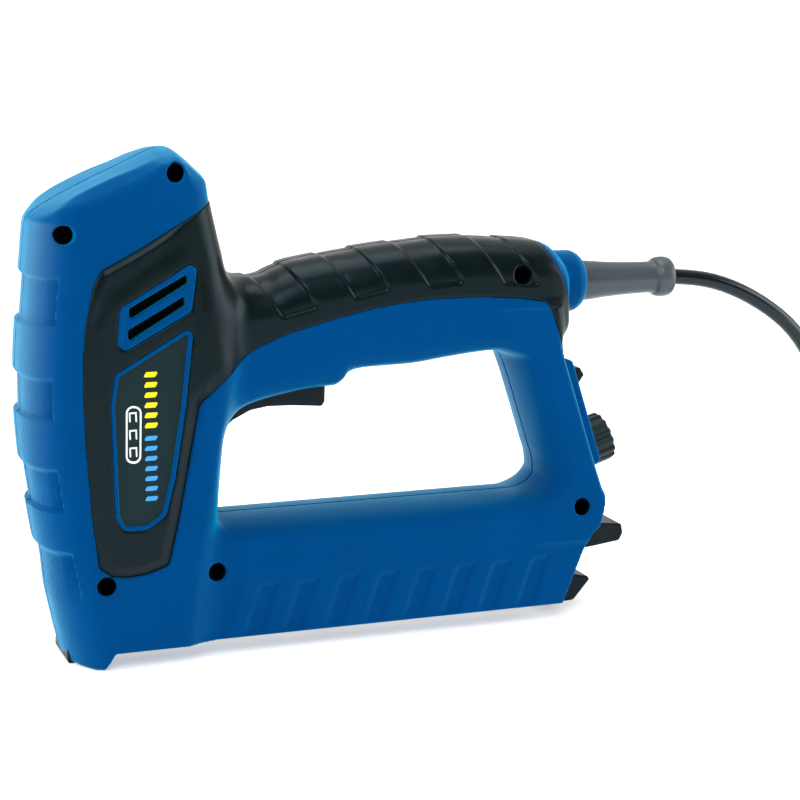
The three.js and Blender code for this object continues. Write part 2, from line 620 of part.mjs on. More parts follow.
// ---- control board ----
add('control_board', boxGeometry(84, 150, -13, 13, 23, 24.6), 0x2f6b3c, 0.6);
add('capacitor', rod('z', 5, 12, 98, -5, 24.9, 16), 0x2c3f6d, 0.4);
add('triac', boxGeometry(132, 142, -8, -3.4, 24.9, 38.6), BLACK, 0.5);

// ---- cord boot and clamp ----
const BOOT = [
  [3.1, 195.4], [7.8, 195.4], [7.8, 196.4, 0], [7.1, 199.6], [7.1, 206.6], [6.3, 214], [5.7, 224], [5.6, 233.4],
  [6.7, 234.4], [7, 236.4], [6.6, 238.6], [5.4, 240.2], [3.1, 240.2], [3.1, 195.4],
];
const bootShape = new THREE.LatheGeometry(BOOT.map(([r, h]) => new THREE.Vector2(r, h)), 16);
bootShape.rotateZ(-Math.PI / 2);
bootShape.translate(0, 0, CORD_Z);
add('cord_boot', bootShape, BLACK, 0.6);
let clamp = box(183.6, 189.6, -5.9, -3.2, 108.6, 125.2).intersect(box(180, 200, -20, 20, 109.4, 123.2));
for (const z of [111.6, 121.2]) {
  clamp = clamp.subtract(rod('y', 1.5, 20, 186.6, -15, z, 10));
}
add('cord_clamp', clamp, 0x3a3d40, 0.6);
[111.6, 121.2].forEach((z, i) => {
  const profile = [[0, 0], [2, 0], [2, 1.5], [1.1, 1.5], [1.1, 11], [0, 11]];
  add(`clamp_screw_${i + 1}`, along('y', turnedGeometry(profile, 10), 186.6, -7.8, z), STEEL, 0.35, 1);
});

// ---- leads inside ----
const LEADS = {
  lead_clamp_to_switch: [[180, 3.6, 113], [164, 6, 108], [140, 7, 112], [122, 5, 110], [111, 3, 107]],
  lead_switch_to_board: [[197, 8.6, 58], [196, 9, 50], [192, 9.5, 40], [184, 10, 32.6], [170, 8, 30], [152, 6, 27.4]],
  lead_board_to_coil: [[82, 9, 27], [77, 9.6, 33], [70, 10, 36.6], [62.6, 10, 38.4], [55, 9.6, 44], [48, 8.6, 56], [43.4, 7, 68]],
};
const LEAD_COLORS = { lead_clamp_to_switch: 0x7a4a24, lead_switch_to_board: 0x1f4fa0, lead_board_to_coil: 0xa02a22 };
for (const [name, points] of Object.entries(LEADS)) {
  add(name, tubeGeometry(points, 0.9, 6, 14), LEAD_COLORS[name], 0.5);
}

// ---- mains cord: the stretch from the clamp to the coil on the surface ----
const COIL_X = 346;
const COIL_R = 28.2;
const CORD = [
  [182, 0, 117], [212, 0, 117], [236, 0, 117], [247, 0, 116.6], [258, 0, 114], [270, 0, 108.6],
  [282, 0, 101.6], [293, 1, 93.2], [303, 5, 82.6], [313, 11.4, 68.6], [321.6, 17, 54.6], [329, 20.6, 43], [335.4, 22.6, 35.6],
];
add('power_cord', tubeGeometry(CORD, CORD_R, 8, 42), BLACK, 0.3);
const COIL_W = 5.6; // two turns side by side and five layers
const COIL_TOP = 29;
const ring = [
  [COIL_R - COIL_W, 1], [COIL_R + COIL_W, 1], [COIL_R + COIL_W, COIL_TOP], [COIL_R - COIL_W, COIL_TOP], [COIL_R - COIL_W, 1],
];
const coil = new THREE.LatheGeometry(ring.map(([r, h]) => new THREE.Vector2(r, h)), 36);
coil.rotateX(Math.PI / 2);
coil.translate(COIL_X, 0, 0);
add('cord_coil', coil, BLACK, 0.3);
const TIE_X = COIL_X + COIL_R;
let tie = box(TIE_X - 7, TIE_X + 7, -4, 4, 0.1, COIL_TOP + 1);
tie = tie.subtract(box(TIE_X - 6.2, TIE_X + 6.2, -6, 6, 0.7, COIL_TOP + 0.4));
add('coil_tie', tie, BLACK, 0.5);

// ---- plug with three flat pins, lying on its back on the coil ----
const PLUG_X = 341;
const PLUG_Y = -9;
const PLUG_Z = COIL_TOP + GAP;
const plugOutline = [
  [PLUG_X - 24, PLUG_Y - 22, 9], [PLUG_X + 16, PLUG_Y - 22, 6], [PLUG_X + 22, PLUG_Y - 8, 4],
  [PLUG_X + 22, PLUG_Y + 8, 4], [PLUG_X + 16, PLUG_Y + 22, 6], [PLUG_X - 24, PLUG_Y + 22, 9],
];
const plugShape = new THREE.ExtrudeGeometry(new THREE.Shape(outline(plugOutline)), {
  depth: 22, bevelEnabled: true, bevelSize: 1.6, bevelOffset: -1.6, bevelThickness: 1.6, bevelSegments: 2, steps: 1,
});
plugShape.translate(0, 0, PLUG_Z + 1.6);
const plugNose = rod('x', 4, 16, PLUG_X + 18, PLUG_Y, PLUG_Z + 14.7, 12);
add('plug_body', toSolid(plugShape).add(plugNose), BLACK, 0.4);
const PLUG_TOP = PLUG_Z + 1.6 + 22 + 1.6;
add('plug_pin_earth', boxGeometry(PLUG_X - 17, PLUG_X - 9, PLUG_Y - 2, PLUG_Y + 2, PLUG_TOP + GAP, PLUG_TOP + 22.7),
  BLACK, 0.5);
add('plug_pin_live', boxGeometry(PLUG_X + 7, PLUG_X + 11, PLUG_Y - 14.2, PLUG_Y - 7.9, PLUG_TOP + GAP, PLUG_TOP + 17.7),
  0xc8a85a, 0.3, 1);
add('plug_pin_neutral', boxGeometry(PLUG_X + 7, PLUG_X + 11, PLUG_Y + 7.9, PLUG_Y + 14.2, PLUG_TOP + GAP, PLUG_TOP + 17.7),
  0xc8a85a, 0.3, 1);

export default tool;
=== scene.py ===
# Looks of the mains electric stapler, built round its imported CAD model.
# Shapes are worked out in millimetres, like the CAD source: x from the front of the head to the rear,
# y from the seam between the two shells (negative on the left side), z up from the floor. They become
# metres in the model's frame when a mesh is made.
import math

import bmesh
import bpy
import numpy as np
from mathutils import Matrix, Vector


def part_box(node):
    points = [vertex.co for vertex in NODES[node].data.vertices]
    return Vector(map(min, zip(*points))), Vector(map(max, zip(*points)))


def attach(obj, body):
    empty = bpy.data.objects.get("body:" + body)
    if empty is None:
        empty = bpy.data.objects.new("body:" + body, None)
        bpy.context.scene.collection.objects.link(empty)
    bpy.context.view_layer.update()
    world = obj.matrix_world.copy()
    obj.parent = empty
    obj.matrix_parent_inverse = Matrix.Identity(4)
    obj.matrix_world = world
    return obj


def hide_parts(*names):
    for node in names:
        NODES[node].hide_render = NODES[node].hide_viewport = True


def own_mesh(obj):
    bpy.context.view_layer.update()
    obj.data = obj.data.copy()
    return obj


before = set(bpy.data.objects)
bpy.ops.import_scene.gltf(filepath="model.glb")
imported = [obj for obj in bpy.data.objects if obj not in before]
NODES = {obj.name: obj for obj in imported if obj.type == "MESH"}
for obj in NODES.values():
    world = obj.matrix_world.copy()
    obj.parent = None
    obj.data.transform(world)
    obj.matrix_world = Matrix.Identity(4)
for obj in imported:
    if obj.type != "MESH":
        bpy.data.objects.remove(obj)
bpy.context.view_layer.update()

MID = 122.75          # front of the head to the model's origin
SEAM = 0.13           # half the gap between the two shells
CORD_Z = 117          # height of the cord's axis at the housing
SIDES = (("left", -1), ("right", 1))
FINE = 0.6   # pitch of the housing's mesh

AZIMUTH, ELEVATION = -20.0, 11.0    # where the camera stands, in degrees
DISTANCE = 0.745                    # from its target, in metres
LENS = 97.2


# ---------------- camera
def vec(x, y, z):
    """A place in millimetres, as metres in the model's frame."""
    return Vector(((x - MID) / 1000, y / 1000, z / 1000))


def make_camera():
    a, e = math.radians(AZIMUTH), math.radians(ELEVATION)
    back = Vector((math.sin(a) * math.cos(e), -math.cos(a) * math.cos(e), math.sin(e)))
    data = bpy.data.cameras.new("camera")
    data.lens = LENS
    data.clip_start = 0.05
    data.clip_end = 30
    cam = bpy.data.objects.new("camera", data)
    bpy.context.scene.collection.objects.link(cam)
    cam.location = vec(138, 0, 78.6) + back * DISTANCE
    cam.rotation_euler = back.to_track_quat("Z", "Y").to_euler()
    bpy.context.scene.camera = cam


make_camera()


# ---------------- node helpers
def new_material(name):
    """A material, its node tree and its shader."""
    m = bpy.data.materials.new(name)
    m.use_nodes = True
    t = m.node_tree
    return m, t, t.nodes["Principled BSDF"]


def link(t, a, b):
    t.links.new(a, b)


def object_coords(t):
    return t.nodes.new("ShaderNodeTexCoord").outputs["Object"]


def noise(t, coords, scale, detail=2.0, rough=0.5):
    """Noise of the given scale per metre."""
    n = t.nodes.new("ShaderNodeTexNoise")
    n.inputs["Scale"].default_value = scale
    n.inputs["Detail"].default_value = detail
    n.inputs["Roughness"].default_value = rough
    link(t, coords, n.inputs["Vector"])
    return n.outputs["Fac"]


def ramp(t, fac, stops):
    """Colours at the given stops, read by fac."""
    r = t.nodes.new("ShaderNodeValToRGB")
    e = r.color_ramp.elements
    while len(e) < len(stops):
        e.new(0.5)
    for el, (pos, col) in zip(e, stops):
        el.position = pos
        el.color = col if len(col) == 4 else (*col, 1.0)
    link(t, fac, r.inputs["Fac"])
    return r.outputs["Color"]


def mapped(t, fac, lo, hi, out_lo, out_hi):
    """fac stretched from lo..hi to out_lo..out_hi, and held there."""
    m = t.nodes.new("ShaderNodeMapRange")
    m.inputs["From Min"].default_value = lo
    m.inputs["From Max"].default_value = hi
    m.inputs["To Min"].default_value = out_lo
    m.inputs["To Max"].default_value = out_hi
    link(t, fac, m.inputs["Value"])
    return m.outputs["Result"]


def bump(t, p, height, strength, distance, before=None):
    """Bump of height on shader p, on top of the bump node before; strength is a number or a socket."""
    b = t.nodes.new("ShaderNodeBump")
    if isinstance(strength, float):
        b.inputs["Strength"].default_value = strength
    else:
        link(t, strength, b.inputs["Strength"])
    b.inputs["Distance"].default_value = distance
    link(t, height, b.inputs["Height"])
    if before is not None:
        link(t, before.outputs["Normal"], b.inputs["Normal"])
    link(t, b.outputs["Normal"], p.inputs["Normal"])
    return b


def scaled(rgb, k):
    return tuple(c * k for c in rgb)


def mesh_value(t, name):
    """Value that the mesh carries at each of its corners."""
    n = t.nodes.new("ShaderNodeAttribute")
    n.attribute_name = name
    return n.outputs["Fac"]


CYAN = (0.0, 0.62, 1.0, 1.0)          # sheen of the blue plastic at grazing angles
PAINTED_HIGHLIGHT_BLUE = (0.042, 0.115, 0.235, 1.0)     # painted highlight: a paler blue mixed into the base colour where the front of the head catches the light
SKY = (0.02, 0.5, 1.0)                # tint of its reflections


def plastic(name, rgb, rough, spread=0.04, grain=2600.0, depth=0.00002, mottling=0.12, spark=False,
            specular=0.25, tint=(0.6, 0.85, 1.0), sheen=0.0):
    """Moulded plastic: slight tone drift and fine moulded grain. With spark, it has a painted highlight, a
    paler blue mixed in where the mesh's own painted-highlight value is high, and a coarse spark-eroded
    texture where "spark" is."""
    m, t, p = new_material(name)
    co = object_coords(t)
    drift = noise(t, co, 38.0, 3.0)
    col = ramp(t, drift, [(0.3, scaled(rgb, 1 - mottling)), (0.7, scaled(rgb, 1 + mottling))])
    if spark:
        # painted highlight: the base colour is blended towards a paler blue by the mesh's painted-highlight
        # value
        blend = t.nodes.new("ShaderNodeMix")
        blend.data_type = "RGBA"
        factor, first, second = blend.inputs[0], blend.inputs[6], blend.inputs[7]
        second.default_value = PAINTED_HIGHLIGHT_BLUE
        link(t, mesh_value(t, "highlight_paint"), factor)
        link(t, col, first)
        col = blend.outputs[2]
    link(t, col, p.inputs["Base Color"])
    fine = noise(t, co, grain, 2.0)
    smear = noise(t, co, 120.0, 4.0)
    link(t, mapped(t, smear, 0.3, 0.7, rough - spread, rough + spread), p.inputs["Roughness"])
    p.inputs["Specular IOR Level"].default_value = specular
    p.inputs["Specular Tint"].default_value = (*tint, 1.0)
    if sheen:
        p.inputs["Sheen Weight"].default_value = sheen
        p.inputs["Sheen Roughness"].default_value = 0.42
        p.inputs["Sheen Tint"].default_value = CYAN
    fine_bump = bump(t, p, fine, 0.35, depth)
    if spark:
        cells = t.nodes.new("ShaderNodeTexVoronoi")
        cells.inputs["Scale"].default_value = 1500.0
        link(t, co, cells.inputs["Vector"])
        grit = noise(t, co, 1150.0, 3.0, 0.7)
        mix = t.nodes.new("ShaderNodeMath")
        mix.operation = "MULTIPLY"
        link(t, cells.outputs["Distance"], mix.inputs[0])
        link(t, grit, mix.inputs[1])
        bump(t, p, mix.outputs[0], mesh_value(t, "spark"), 0.00022, fine_bump)
    return m


def metal(name, rgb, rough, scratch=0.06):
    """Metal with drawing lines along x."""
    m, t, p = new_material(name)
    co = object_coords(t)
    p.inputs["Metallic"].default_value = 1.0
    tone = noise(t, co, 90.0, 4.0)
    link(t, ramp(t, tone, [(0.3, scaled(rgb, 0.86)), (0.7, scaled(rgb, 1.05))]), p.inputs["Base Color"])
    stretch = t.nodes.new("ShaderNodeMapping")
    stretch.inputs["Scale"].default_value = (60, 900, 900)
    link(t, co, stretch.inputs["Vector"])
    lines = noise(t, stretch.outputs["Vector"], 3.0, 3.0)
    link(t, mapped(t, lines, 0.3, 0.7, rough - scratch, rough + scratch), p.inputs["Roughness"])
    bump(t, p, lines, 0.15, 0.00002)
    return m


BLUE = plastic("blue_plastic", (0.0004, 0.043, 0.164), 0.34, 0.04, 2600.0, 0.00003, 0.05,
               spark=True, specular=0.03, tint=SKY, sheen=0.7)
RUBBER = plastic("grip_rubber", (0.0007, 0.0036, 0.0038), 0.31, 0.05, 3400.0, 0.00003, 0.12,
                 specular=0.18)
BLACK = plastic("black_plastic", (0.0022, 0.0038, 0.0044), 0.34, 0.05, 3000.0, 0.00003, 0.15,
                specular=0.17)
DIAL = plastic("dial_plastic", (0.010, 0.013, 0.015), 0.3, 0.05, 3000.0, 0.00002, 0.15)
BOOT = plastic("boot_rubber", (0.046, 0.051, 0.055), 0.34, 0.05, 3600.0, 0.00003, 0.12,
               specular=0.5)
SHEATH = plastic("cord_sheath", (0.005, 0.0055, 0.006), 0.16, 0.03, 1800.0, 0.00001, 0.1,
                 specular=0.35)
PLATE = plastic("badge_plate", (0.0036, 0.0130, 0.0136), 0.5, 0.04, 2000.0, 0.00001, 0.08,
                specular=0.2)
WHITE_INK = plastic("white_ink", (0.78, 0.8, 0.8), 0.5, 0.03, 2000.0, 0.00001, 0.03)
YELLOW_INK = plastic("yellow_ink", (0.86, 0.66, 0.006), 0.5, 0.03, 2000.0, 0.00001, 0.03)
LIGHT_BLUE_INK = plastic("light_blue_ink", (0.05, 0.30, 0.66), 0.5, 0.03, 2000.0, 0.00001, 0.03)
RIM_BLUE = plastic("panel_plastic", (0.0004, 0.050, 0.185), 0.34, 0.04, 2600.0, 0.00003, 0.05,
                   specular=0.03, tint=SKY, sheen=0.7)
OXIDE = metal("black_oxide", (0.003, 0.003, 0.0033), 0.6)
STEEL = metal("steel", (0.55, 0.56, 0.58), 0.3)
# painted shade: the near-black of the plates in the vent slots and the tubes in the screw bores
SHADOW = plastic("painted_shade_black", (0.0005, 0.0006, 0.0007), 0.7, specular=0.05)
DARK_STEEL = metal("dark_steel", (0.018, 0.018, 0.02), 0.45)
COPPER = metal("copper_wire", (0.62, 0.25, 0.1), 0.35)
BRASS = metal("brass", (0.72, 0.5, 0.2), 0.22)
BOARD = plastic("board_lacquer", (0.02, 0.14, 0.05), 0.3, 0.04, 1400.0, 0.00002, 0.15)
PART_BLUE = plastic("component_sleeve", (0.03, 0.07, 0.2), 0.35)
NYLON = plastic("bobbin_nylon", (0.62, 0.58, 0.48), 0.45)
BROWN_LEAD = plastic("brown_lead", (0.16, 0.06, 0.025), 0.4)
BLUE_LEAD = plastic("blue_lead", (0.02, 0.1, 0.42), 0.4)
RED_LEAD = plastic("red_lead", (0.35, 0.02, 0.02), 0.4)


def dress(name, material):
    """Gives a CAD node its material."""
    mesh = NODES[name].data
    mesh.materials.clear()
    mesh.materials.append(material)


for _name in NODES:
    dress(_name, STEEL)
for _names, _mat in (
    (("rocker_switch_body", "microswitch_body", "triac", "cord_clamp"), BLACK),
    (("top_bumper", "bottom_bumper"), BOOT),
    (("solenoid_frame", "nose_front_plate"), DARK_STEEL),
    (("coil_winding",), COPPER),
    (("coil_bobbin",), NYLON),
    (("control_board",), BOARD),
    (("capacitor", "potentiometer_body"), PART_BLUE),
    (("plug_pin_live", "plug_pin_neutral"), BRASS),
    (("plug_pin_earth",), BLACK),
    (("lead_clamp_to_switch",), BROWN_LEAD),
    (("lead_switch_to_board",), BLUE_LEAD),
    (("lead_board_to_coil",), RED_LEAD),
):
    for _n in _names:
        dress(_n, _mat)


# ---------------- mesh helpers
def mesh_object(name, verts, faces, material, smooth=True, body="housing", stands_for=()):
    """A visible piece that rides on body and stands for the CAD nodes in stands_for."""
    mesh = bpy.data.meshes.new(name)
    mesh.from_pydata([tuple(v) for v in verts], [], [tuple(f) for f in faces])
    mesh.materials.append(material)
    if smooth:
        mesh.polygons.foreach_set("use_smooth", [True] * len(mesh.polygons))
    mesh.update()
    o = bpy.data.objects.new(name, mesh)
    bpy.context.scene.collection.objects.link(o)
    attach(o, body)
    if stands_for:
        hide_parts(*stands_for)
    return o


def metres(p):
    """Rows of millimetres, as metres in the model's frame."""
    p = np.asarray(p, float).copy()
    p[:, 0] -= MID
    return p / 1000.0


def hermite(points, n=12):
    """Dense samples of a smooth curve through points, as (parameter, values...)."""
    p = np.array(points, float)
    x = p[:, 0]
    out = []
    slope = np.zeros_like(p)
    h = np.diff(x)[:, None]
    sec = np.diff(p, axis=0) / h
    slope[0], slope[-1] = sec[0], sec[-1]
    same = (sec[:-1] * sec[1:]) > 0
    slope[1:-1] = np.where(same, 2 * sec[:-1] * sec[1:] / np.where(same, sec[:-1] + sec[1:], 1), 0)
    slope[:, 0] = 1
    for i in range(len(p) - 1):
        for k in range(n):
            t = k / n
            h00, h10 = 2 * t**3 - 3 * t**2 + 1, t**3 - 2 * t**2 + t
            h01, h11 = -2 * t**3 + 3 * t**2, t**3 - t**2
            out.append(h00 * p[i] + h10 * h[i] * slope[i] + h01 * p[i + 1] + h11 * h[i] * slope[i + 1])
    out.append(p[-1])
    return np.array(out)


class Curve:
    """Value of a smooth curve through (at, value) pairs; constant beyond its ends."""

    def __init__(self, points, smooth=True):
        p = np.array(points, float)
        self.table = hermite(p) if smooth else p

    def __call__(self, at, column=1):
        return np.interp(at, self.table[:, 0], self.table[:, column])


def step(v, a, b):
    """0 before a, 1 after b, smooth between."""
    t = np.clip((v - a) / (b - a), 0, 1)
    return t * t * (3 - 2 * t)


def smax(a, b, k):
    """The larger of a and b, rounded over k where they cross."""
    h = np.clip(0.5 + 0.5 * (a - b) / k, 0, 1)
    return b + (a - b) * h + k * h * (1 - h)


def smin(a, b, k):
    """The smaller of a and b, rounded over k where they cross."""
    return -smax(-a, -b, k)


def rounded(points, steps=5):
    """Corners (u, v, radius) to a dense outline."""
    out = []
    n = len(points)
    for i in range(n):
        u, v, *r = points[i]
        r = r[0] if r else 0
        a = np.array(points[i - 1][:2]) - (u, v)
        b = np.array(points[(i + 1) % n][:2]) - (u, v)
        la, lb = np.hypot(*a), np.hypot(*b)
        a, b = a / la, b / lb
        half = math.acos(max(-1, min(1, float(a @ b)))) / 2
        cut = min(r / math.tan(half), la * 0.49, lb * 0.49) if r else 0
        if cut < 0.03:
            out.append((u, v))
            continue
        p, q = np.array((u, v)) + a * cut, np.array((u, v)) + b * cut
        for k in range(steps + 1):
            t = k / steps
            w = (1 - t) ** 2 + 2 * t * (1 - t) * math.sin(half) + t * t
            m = ((1 - t) ** 2 * p + 2 * t * (1 - t) * math.sin(half) * np.array((u, v)) + t * t * q) / w
            out.append((float(m[0]), float(m[1])))
    return out


def poly(x, z, pts):
    """Signed distance to a closed outline in the x z plane, negative inside; far outside it is only a
    lower bound."""
    x, z = np.broadcast_arrays(np.asarray(x, float), np.asarray(z, float))
    c = np.array(pts)
    (x0, z0), (x1, z1) = c.min(0), c.max(0)
    out = np.hypot(np.maximum(np.maximum(x0 - x, x - x1), 0), np.maximum(np.maximum(z0 - z, z - z1), 0))
    out = np.array(out + 4)
    near = out < 9.0
    px, pz = x[near], z[near]
    best = np.full(px.shape, 1e9)
    inside = np.zeros(px.shape, bool)
    for (ax, az), (bx, bz) in zip(pts, pts[1:] + pts[:1]):
        ex, ez = bx - ax, bz - az
        wx, wz = px - ax, pz - az
        t = np.clip((wx * ex + wz * ez) / max(ex * ex + ez * ez, 1e-12), 0, 1)
        best = np.minimum(best, (wx - ex * t) ** 2 + (wz - ez * t) ** 2)
        if abs(ez) > 1e-9:
            inside ^= ((az <= pz) != (bz <= pz)) & (px < ax + wz * ex / ez)
    out[near] = np.where(inside, -1.0, 1.0) * np.sqrt(best)
    return out


def cushion(u, u0, u1, v, t, low, high):
    """Distance to a section from u0 to u1 and v up to t, with elliptical corners (ru, rv) at either end."""
    d = np.maximum(np.maximum(u0 - u, u - u1), v - t)
    for (ru, rv), s in ((low, u0 + low[0] - u), (high, u - (u1 - high[0]))):
        w = v - (t - rv)
        k0 = np.hypot(s / ru, w / rv)
        k1 = np.hypot(s / ru**2, w / rv**2) + 1e-9
        d = np.where((s > 0) & (w > 0), k0 * (k0 - 1) / k1, d)
    return d


def slab(outline, y, x, z, half, r):
    """Outline thickened to half either side of y = 0, with edges rounded by r."""
    a = poly(x, z, outline) + r
    b = np.abs(y) - half + r
    return np.minimum(np.maximum(a, b), 0) + np.hypot(np.maximum(a, 0), np.maximum(b, 0)) - r


# Corners and edges of a grid cell.
CORNERS = [(i, j, k) for i in (0, 1) for j in (0, 1) for k in (0, 1)]
EDGES = [(a, b) for a in CORNERS for b in CORNERS
         if sum(q - p for p, q in zip(a, b)) == 1 and all(q >= p for p, q in zip(a, b))]


def nets(field, low, high, pitch, polish=2):
    """Mesh of the surface where field is zero, on a grid of the given pitch; its corners are then
    moved onto the surface itself."""
    axes = [np.arange(a, b + pitch, pitch) for a, b in zip(low, high)]
    f = field(axes[0][:, None, None], axes[1][None, :, None], axes[2][None, None, :])
    f = np.broadcast_to(f, [len(a) for a in axes])
    s = f < 0
    n = [k - 1 for k in f.shape]
    total = sum(s[i:i + n[0], j:j + n[1], k:k + n[2]].astype(np.int8) for i, j, k in CORNERS)
    active = (total > 0) & (total < 8)
    cells = np.argwhere(active)
    ids = np.full(active.shape, -1, np.int64)
    ids[active] = np.arange(len(cells))
    pos = np.zeros((len(cells), 3))
    hits = np.zeros(len(cells))
    for a, b in EDGES:
        fa = f[cells[:, 0] + a[0], cells[:, 1] + a[1], cells[:, 2] + a[2]]
        fb = f[cells[:, 0] + b[0], cells[:, 1] + b[1], cells[:, 2] + b[2]]
        m = (fa < 0) != (fb < 0)
        t = np.where(m, fa / np.where(m, fa - fb, 1), 0)
        pos += m[:, None] * (np.array(a) + t[:, None] * (np.array(b) - np.array(a)))
        hits += m
    pos = (pos / hits[:, None] + cells) * pitch + np.array(low, float)
    faces = []
    for ax in range(3):
        o1, o2 = (ax + 1) % 3, (ax + 2) % 3
        lo = [slice(None)] * 3
        hi = [slice(None)] * 3
        lo[ax], hi[ax] = slice(0, -1), slice(1, None)
        for o in (o1, o2):
            lo[o] = hi[o] = slice(1, -1)
        cross = s[tuple(lo)] != s[tuple(hi)]
        at = np.argwhere(cross)
        at[:, o1] += 1
        at[:, o2] += 1
        sign = s[at[:, 0], at[:, 1], at[:, 2]]
        quad = []
        for d1, d2 in ((-1, -1), (0, -1), (0, 0), (-1, 0)):
            c = at.copy()
            c[:, o1] += d1
            c[:, o2] += d2
            quad.append(ids[c[:, 0], c[:, 1], c[:, 2]])
        quad = np.stack(quad, 1)
        quad[~sign] = quad[~sign][:, ::-1]
        faces.append(quad)
    faces = np.concatenate(faces)
    h = pitch * 0.04
    for _ in range(polish):
        x, y, z = pos.T
        v = field(x, y, z)
        g = np.stack([field(x + h, y, z) - v, field(x, y + h, z) - v, field(x, y, z + h) - v], 1) / h
        move = -v[:, None] * g / np.maximum((g * g).sum(1), 0.25)[:, None]
        size = np.linalg.norm(move, axis=1)
        move *= np.minimum(1, 0.35 * pitch / np.maximum(size, 1e-9))[:, None]
        pos = pos + move
    return pos, faces


def tidy(pos, faces, keep):
    """Drops the faces with no corner in keep, and the corners that no face uses."""
    faces = faces[keep[faces].any(1)]
    used = np.zeros(len(pos), bool)
    used[faces.ravel()] = True
    back = np.cumsum(used) - 1
    return pos[used], back[faces]


# ---------------- housing as one smooth form
# Half widths of the head, the rear strut and the base.
HEAD_T, STRUT_T, BASE_T = 23.8, 18.9, 19.5
# The head's front and rear by height; its roof at the seam by x, and how far that has dropped 18 mm
# out from the seam; the edge below the shoulders; and where its side steps in towards the opening.
FRONT = Curve([(-4, 19.4), (5, 16.9), (22, 13.4), (41, 9.7), (54, 7.8), (69, 6.0), (84, 5.2), (98, 5.4),
               (113, 6.5), (130, 8.3), (140, 9.4), (148, 10.4), (160, 12.4), (176, 15)])
REAR = Curve([(-4, 66), (22, 66.8), (41, 68), (56, 68.8), (70, 69.9), (84, 72.0), (98, 73.0),
              (114, 73.0), (125, 72.0), (132, 71.2), (140, 69.4), (149, 67.4), (157, 65.9), (176, 64.6)])
ROOF = Curve([(2, 138.8), (9, 145.6), (11.8, 147.8), (18.3, 151.8), (27, 156.2), (32.9, 158.9),
              (42.4, 163.1), (49.1, 166.2), (53.2, 167.7), (56.4, 167.9), (59, 166.5), (63.5, 162.5),
              (68.5, 157.8), (76, 150.4)])
CROWN = Curve([(8, 2.6), (14, 1.6), (18, 0.6), (24, 0.0), (34, 0.1), (42, 0.7), (48, 1.1), (54, 2.1),
               (60, 2.8)])
SHOULDER = Curve([(6, 146.6), (10.9, 148.2), (17.2, 149.7), (26.3, 152.2), (34.8, 155), (42.6, 158.4),
                  (47.7, 161.6), (51, 163.6), (55, 163.0), (60, 158), (66, 151.5)])
SLOPE = Curve([(4, 54.6), (34, 58.6), (61, 64), (87, 69.6), (100, 74), (112, 80)])
# Radii of the head's rear corners, along x and across.
REAR_RU = Curve([(60, 5), (96, 6), (120, 10), (150, 10), (160, 7), (170, 6)])
REAR_RV = Curve([(60, 6), (96, 7), (120, 10), (150, 9), (160, 7), (170, 6)])
# The handle's underside, top and half width by x.
HANDLE = Curve([
    (56, 76, 134, 20.5), (64, 77, 132, 20), (69, 78, 130, 19.4), (71.5, 79, 128.4, 18.8),
    (73.4, 80, 127.2, 18.4), (74.8, 80.6, 126.4, 18), (77, 81.6, 125.6, 17.6), (80, 82.8, 125.0, 17.3),
    (84, 84, 124.9, 17.1), (88, 84.9, 125.5, 17), (92, 85.6, 127.2, 17), (98, 86.6, 129.1, 17),
    (104, 87.2, 130.1, 17), (110, 87.4, 131, 17), (112.6, 88.6, 131.4, 17), (114.8, 91.2, 131.7, 17),
    (117.5, 92.4, 132.0, 17), (122, 92.9, 132.6, 17), (137, 93.2, 134.1, 17), (150, 94.6, 135, 17),
    (160, 95.6, 135, 17), (166, 96.0, 134.7, 17), (177, 96.2, 133.6, 17), (185, 96.8, 132.7, 16.8),
    (190, 98, 130.9, 16.2), (193.6, 99.6, 127.4, 15.2), (197, 102, 124, 12.4)])
# Front and rear of the strut by height.
STRUT_F = Curve([(33, 176.4), (41, 178.8), (43.6, 183.0), (46, 185.8), (50, 188.1), (54, 187.8),
                 (60, 186.0), (76, 181.0), (88, 177.0), (93, 174.8), (96, 171.0), (104, 164.4),
                 (112, 161.4)])
STRUT_R = Curve([(33, 206.4), (41, 208.6), (45, 207.6), (54, 204.6), (88, 193.9), (93, 192.3),
                 (98, 191.2), (104, 190.8), (112, 190)])
# Everything right of and below this outline is cut away: the base's slanting rear end.
CUT = rounded([(-9, -9), (191.8, -9), (191.8, 5.7, 1), (199.4, 24.2, 0.6), (202.6, 30.4, 1),
               (205.4, 32.6, 1.5), (207.6, 41, 2), (209.2, 47), (220, 80), (220, 200), (-9, 200)])
# The underside: the nose stands lower than the base.
SOLE = rounded([(-9, -9), (10.6, 12), (13.0, 5.6, 1), (14.6, 3.7, 1), (17.4, 1.5), (21, 0.8),
                (25.4, 0.3), (27.8, 0.4, 1), (29.4, 2.6), (31.2, 5.7, 1), (220, 5.7), (220, 220),
                (-30, 220), (-30, -9)])

# The overmould's outline, the vent's and the badge's frames in it, and the vent's two slots.
GRIP = rounded([
    (64.2, 150.4), (42.1, 137.7), (29.6, 131.4, 2), (26.8, 126, 3), (24.2, 113.6), (23.2, 104),
    (22.8, 90.6), (23.3, 74), (24.6, 51.6), (26.3, 34.6, 3), (31, 31.4, 3), (36.3, 30.7, 6),
    (42.4, 31.3, 6), (50, 33.6, 3), (53.7, 49.1), (58.6, 73.3), (61.2, 86.4, 4), (69.1, 93.4, 8),
    (79.7, 101.5, 14), (92, 106.4), (109, 110.7), (121.6, 113.3), (131.8, 114.7), (142.9, 115.6),
    (160.6, 115.6), (175.3, 114.3), (185.4, 112.5, 1), (190.3, 98.2, 0.5), (192, 93), (199, 95),
    (202.4, 104, 3), (196.2, 108.4), (192.6, 119.4), (190.2, 124), (187.2, 130.4), (182, 142),
    (140, 150), (84, 152), (72, 154)])
VENT = rounded([(35.0, 119.2, 2.5), (58.3, 132.2, 2.2), (60.2, 130.2, 2), (58.3, 117.2, 2.5),
                (36.6, 105.4, 2.5), (34.0, 107.4, 2)])
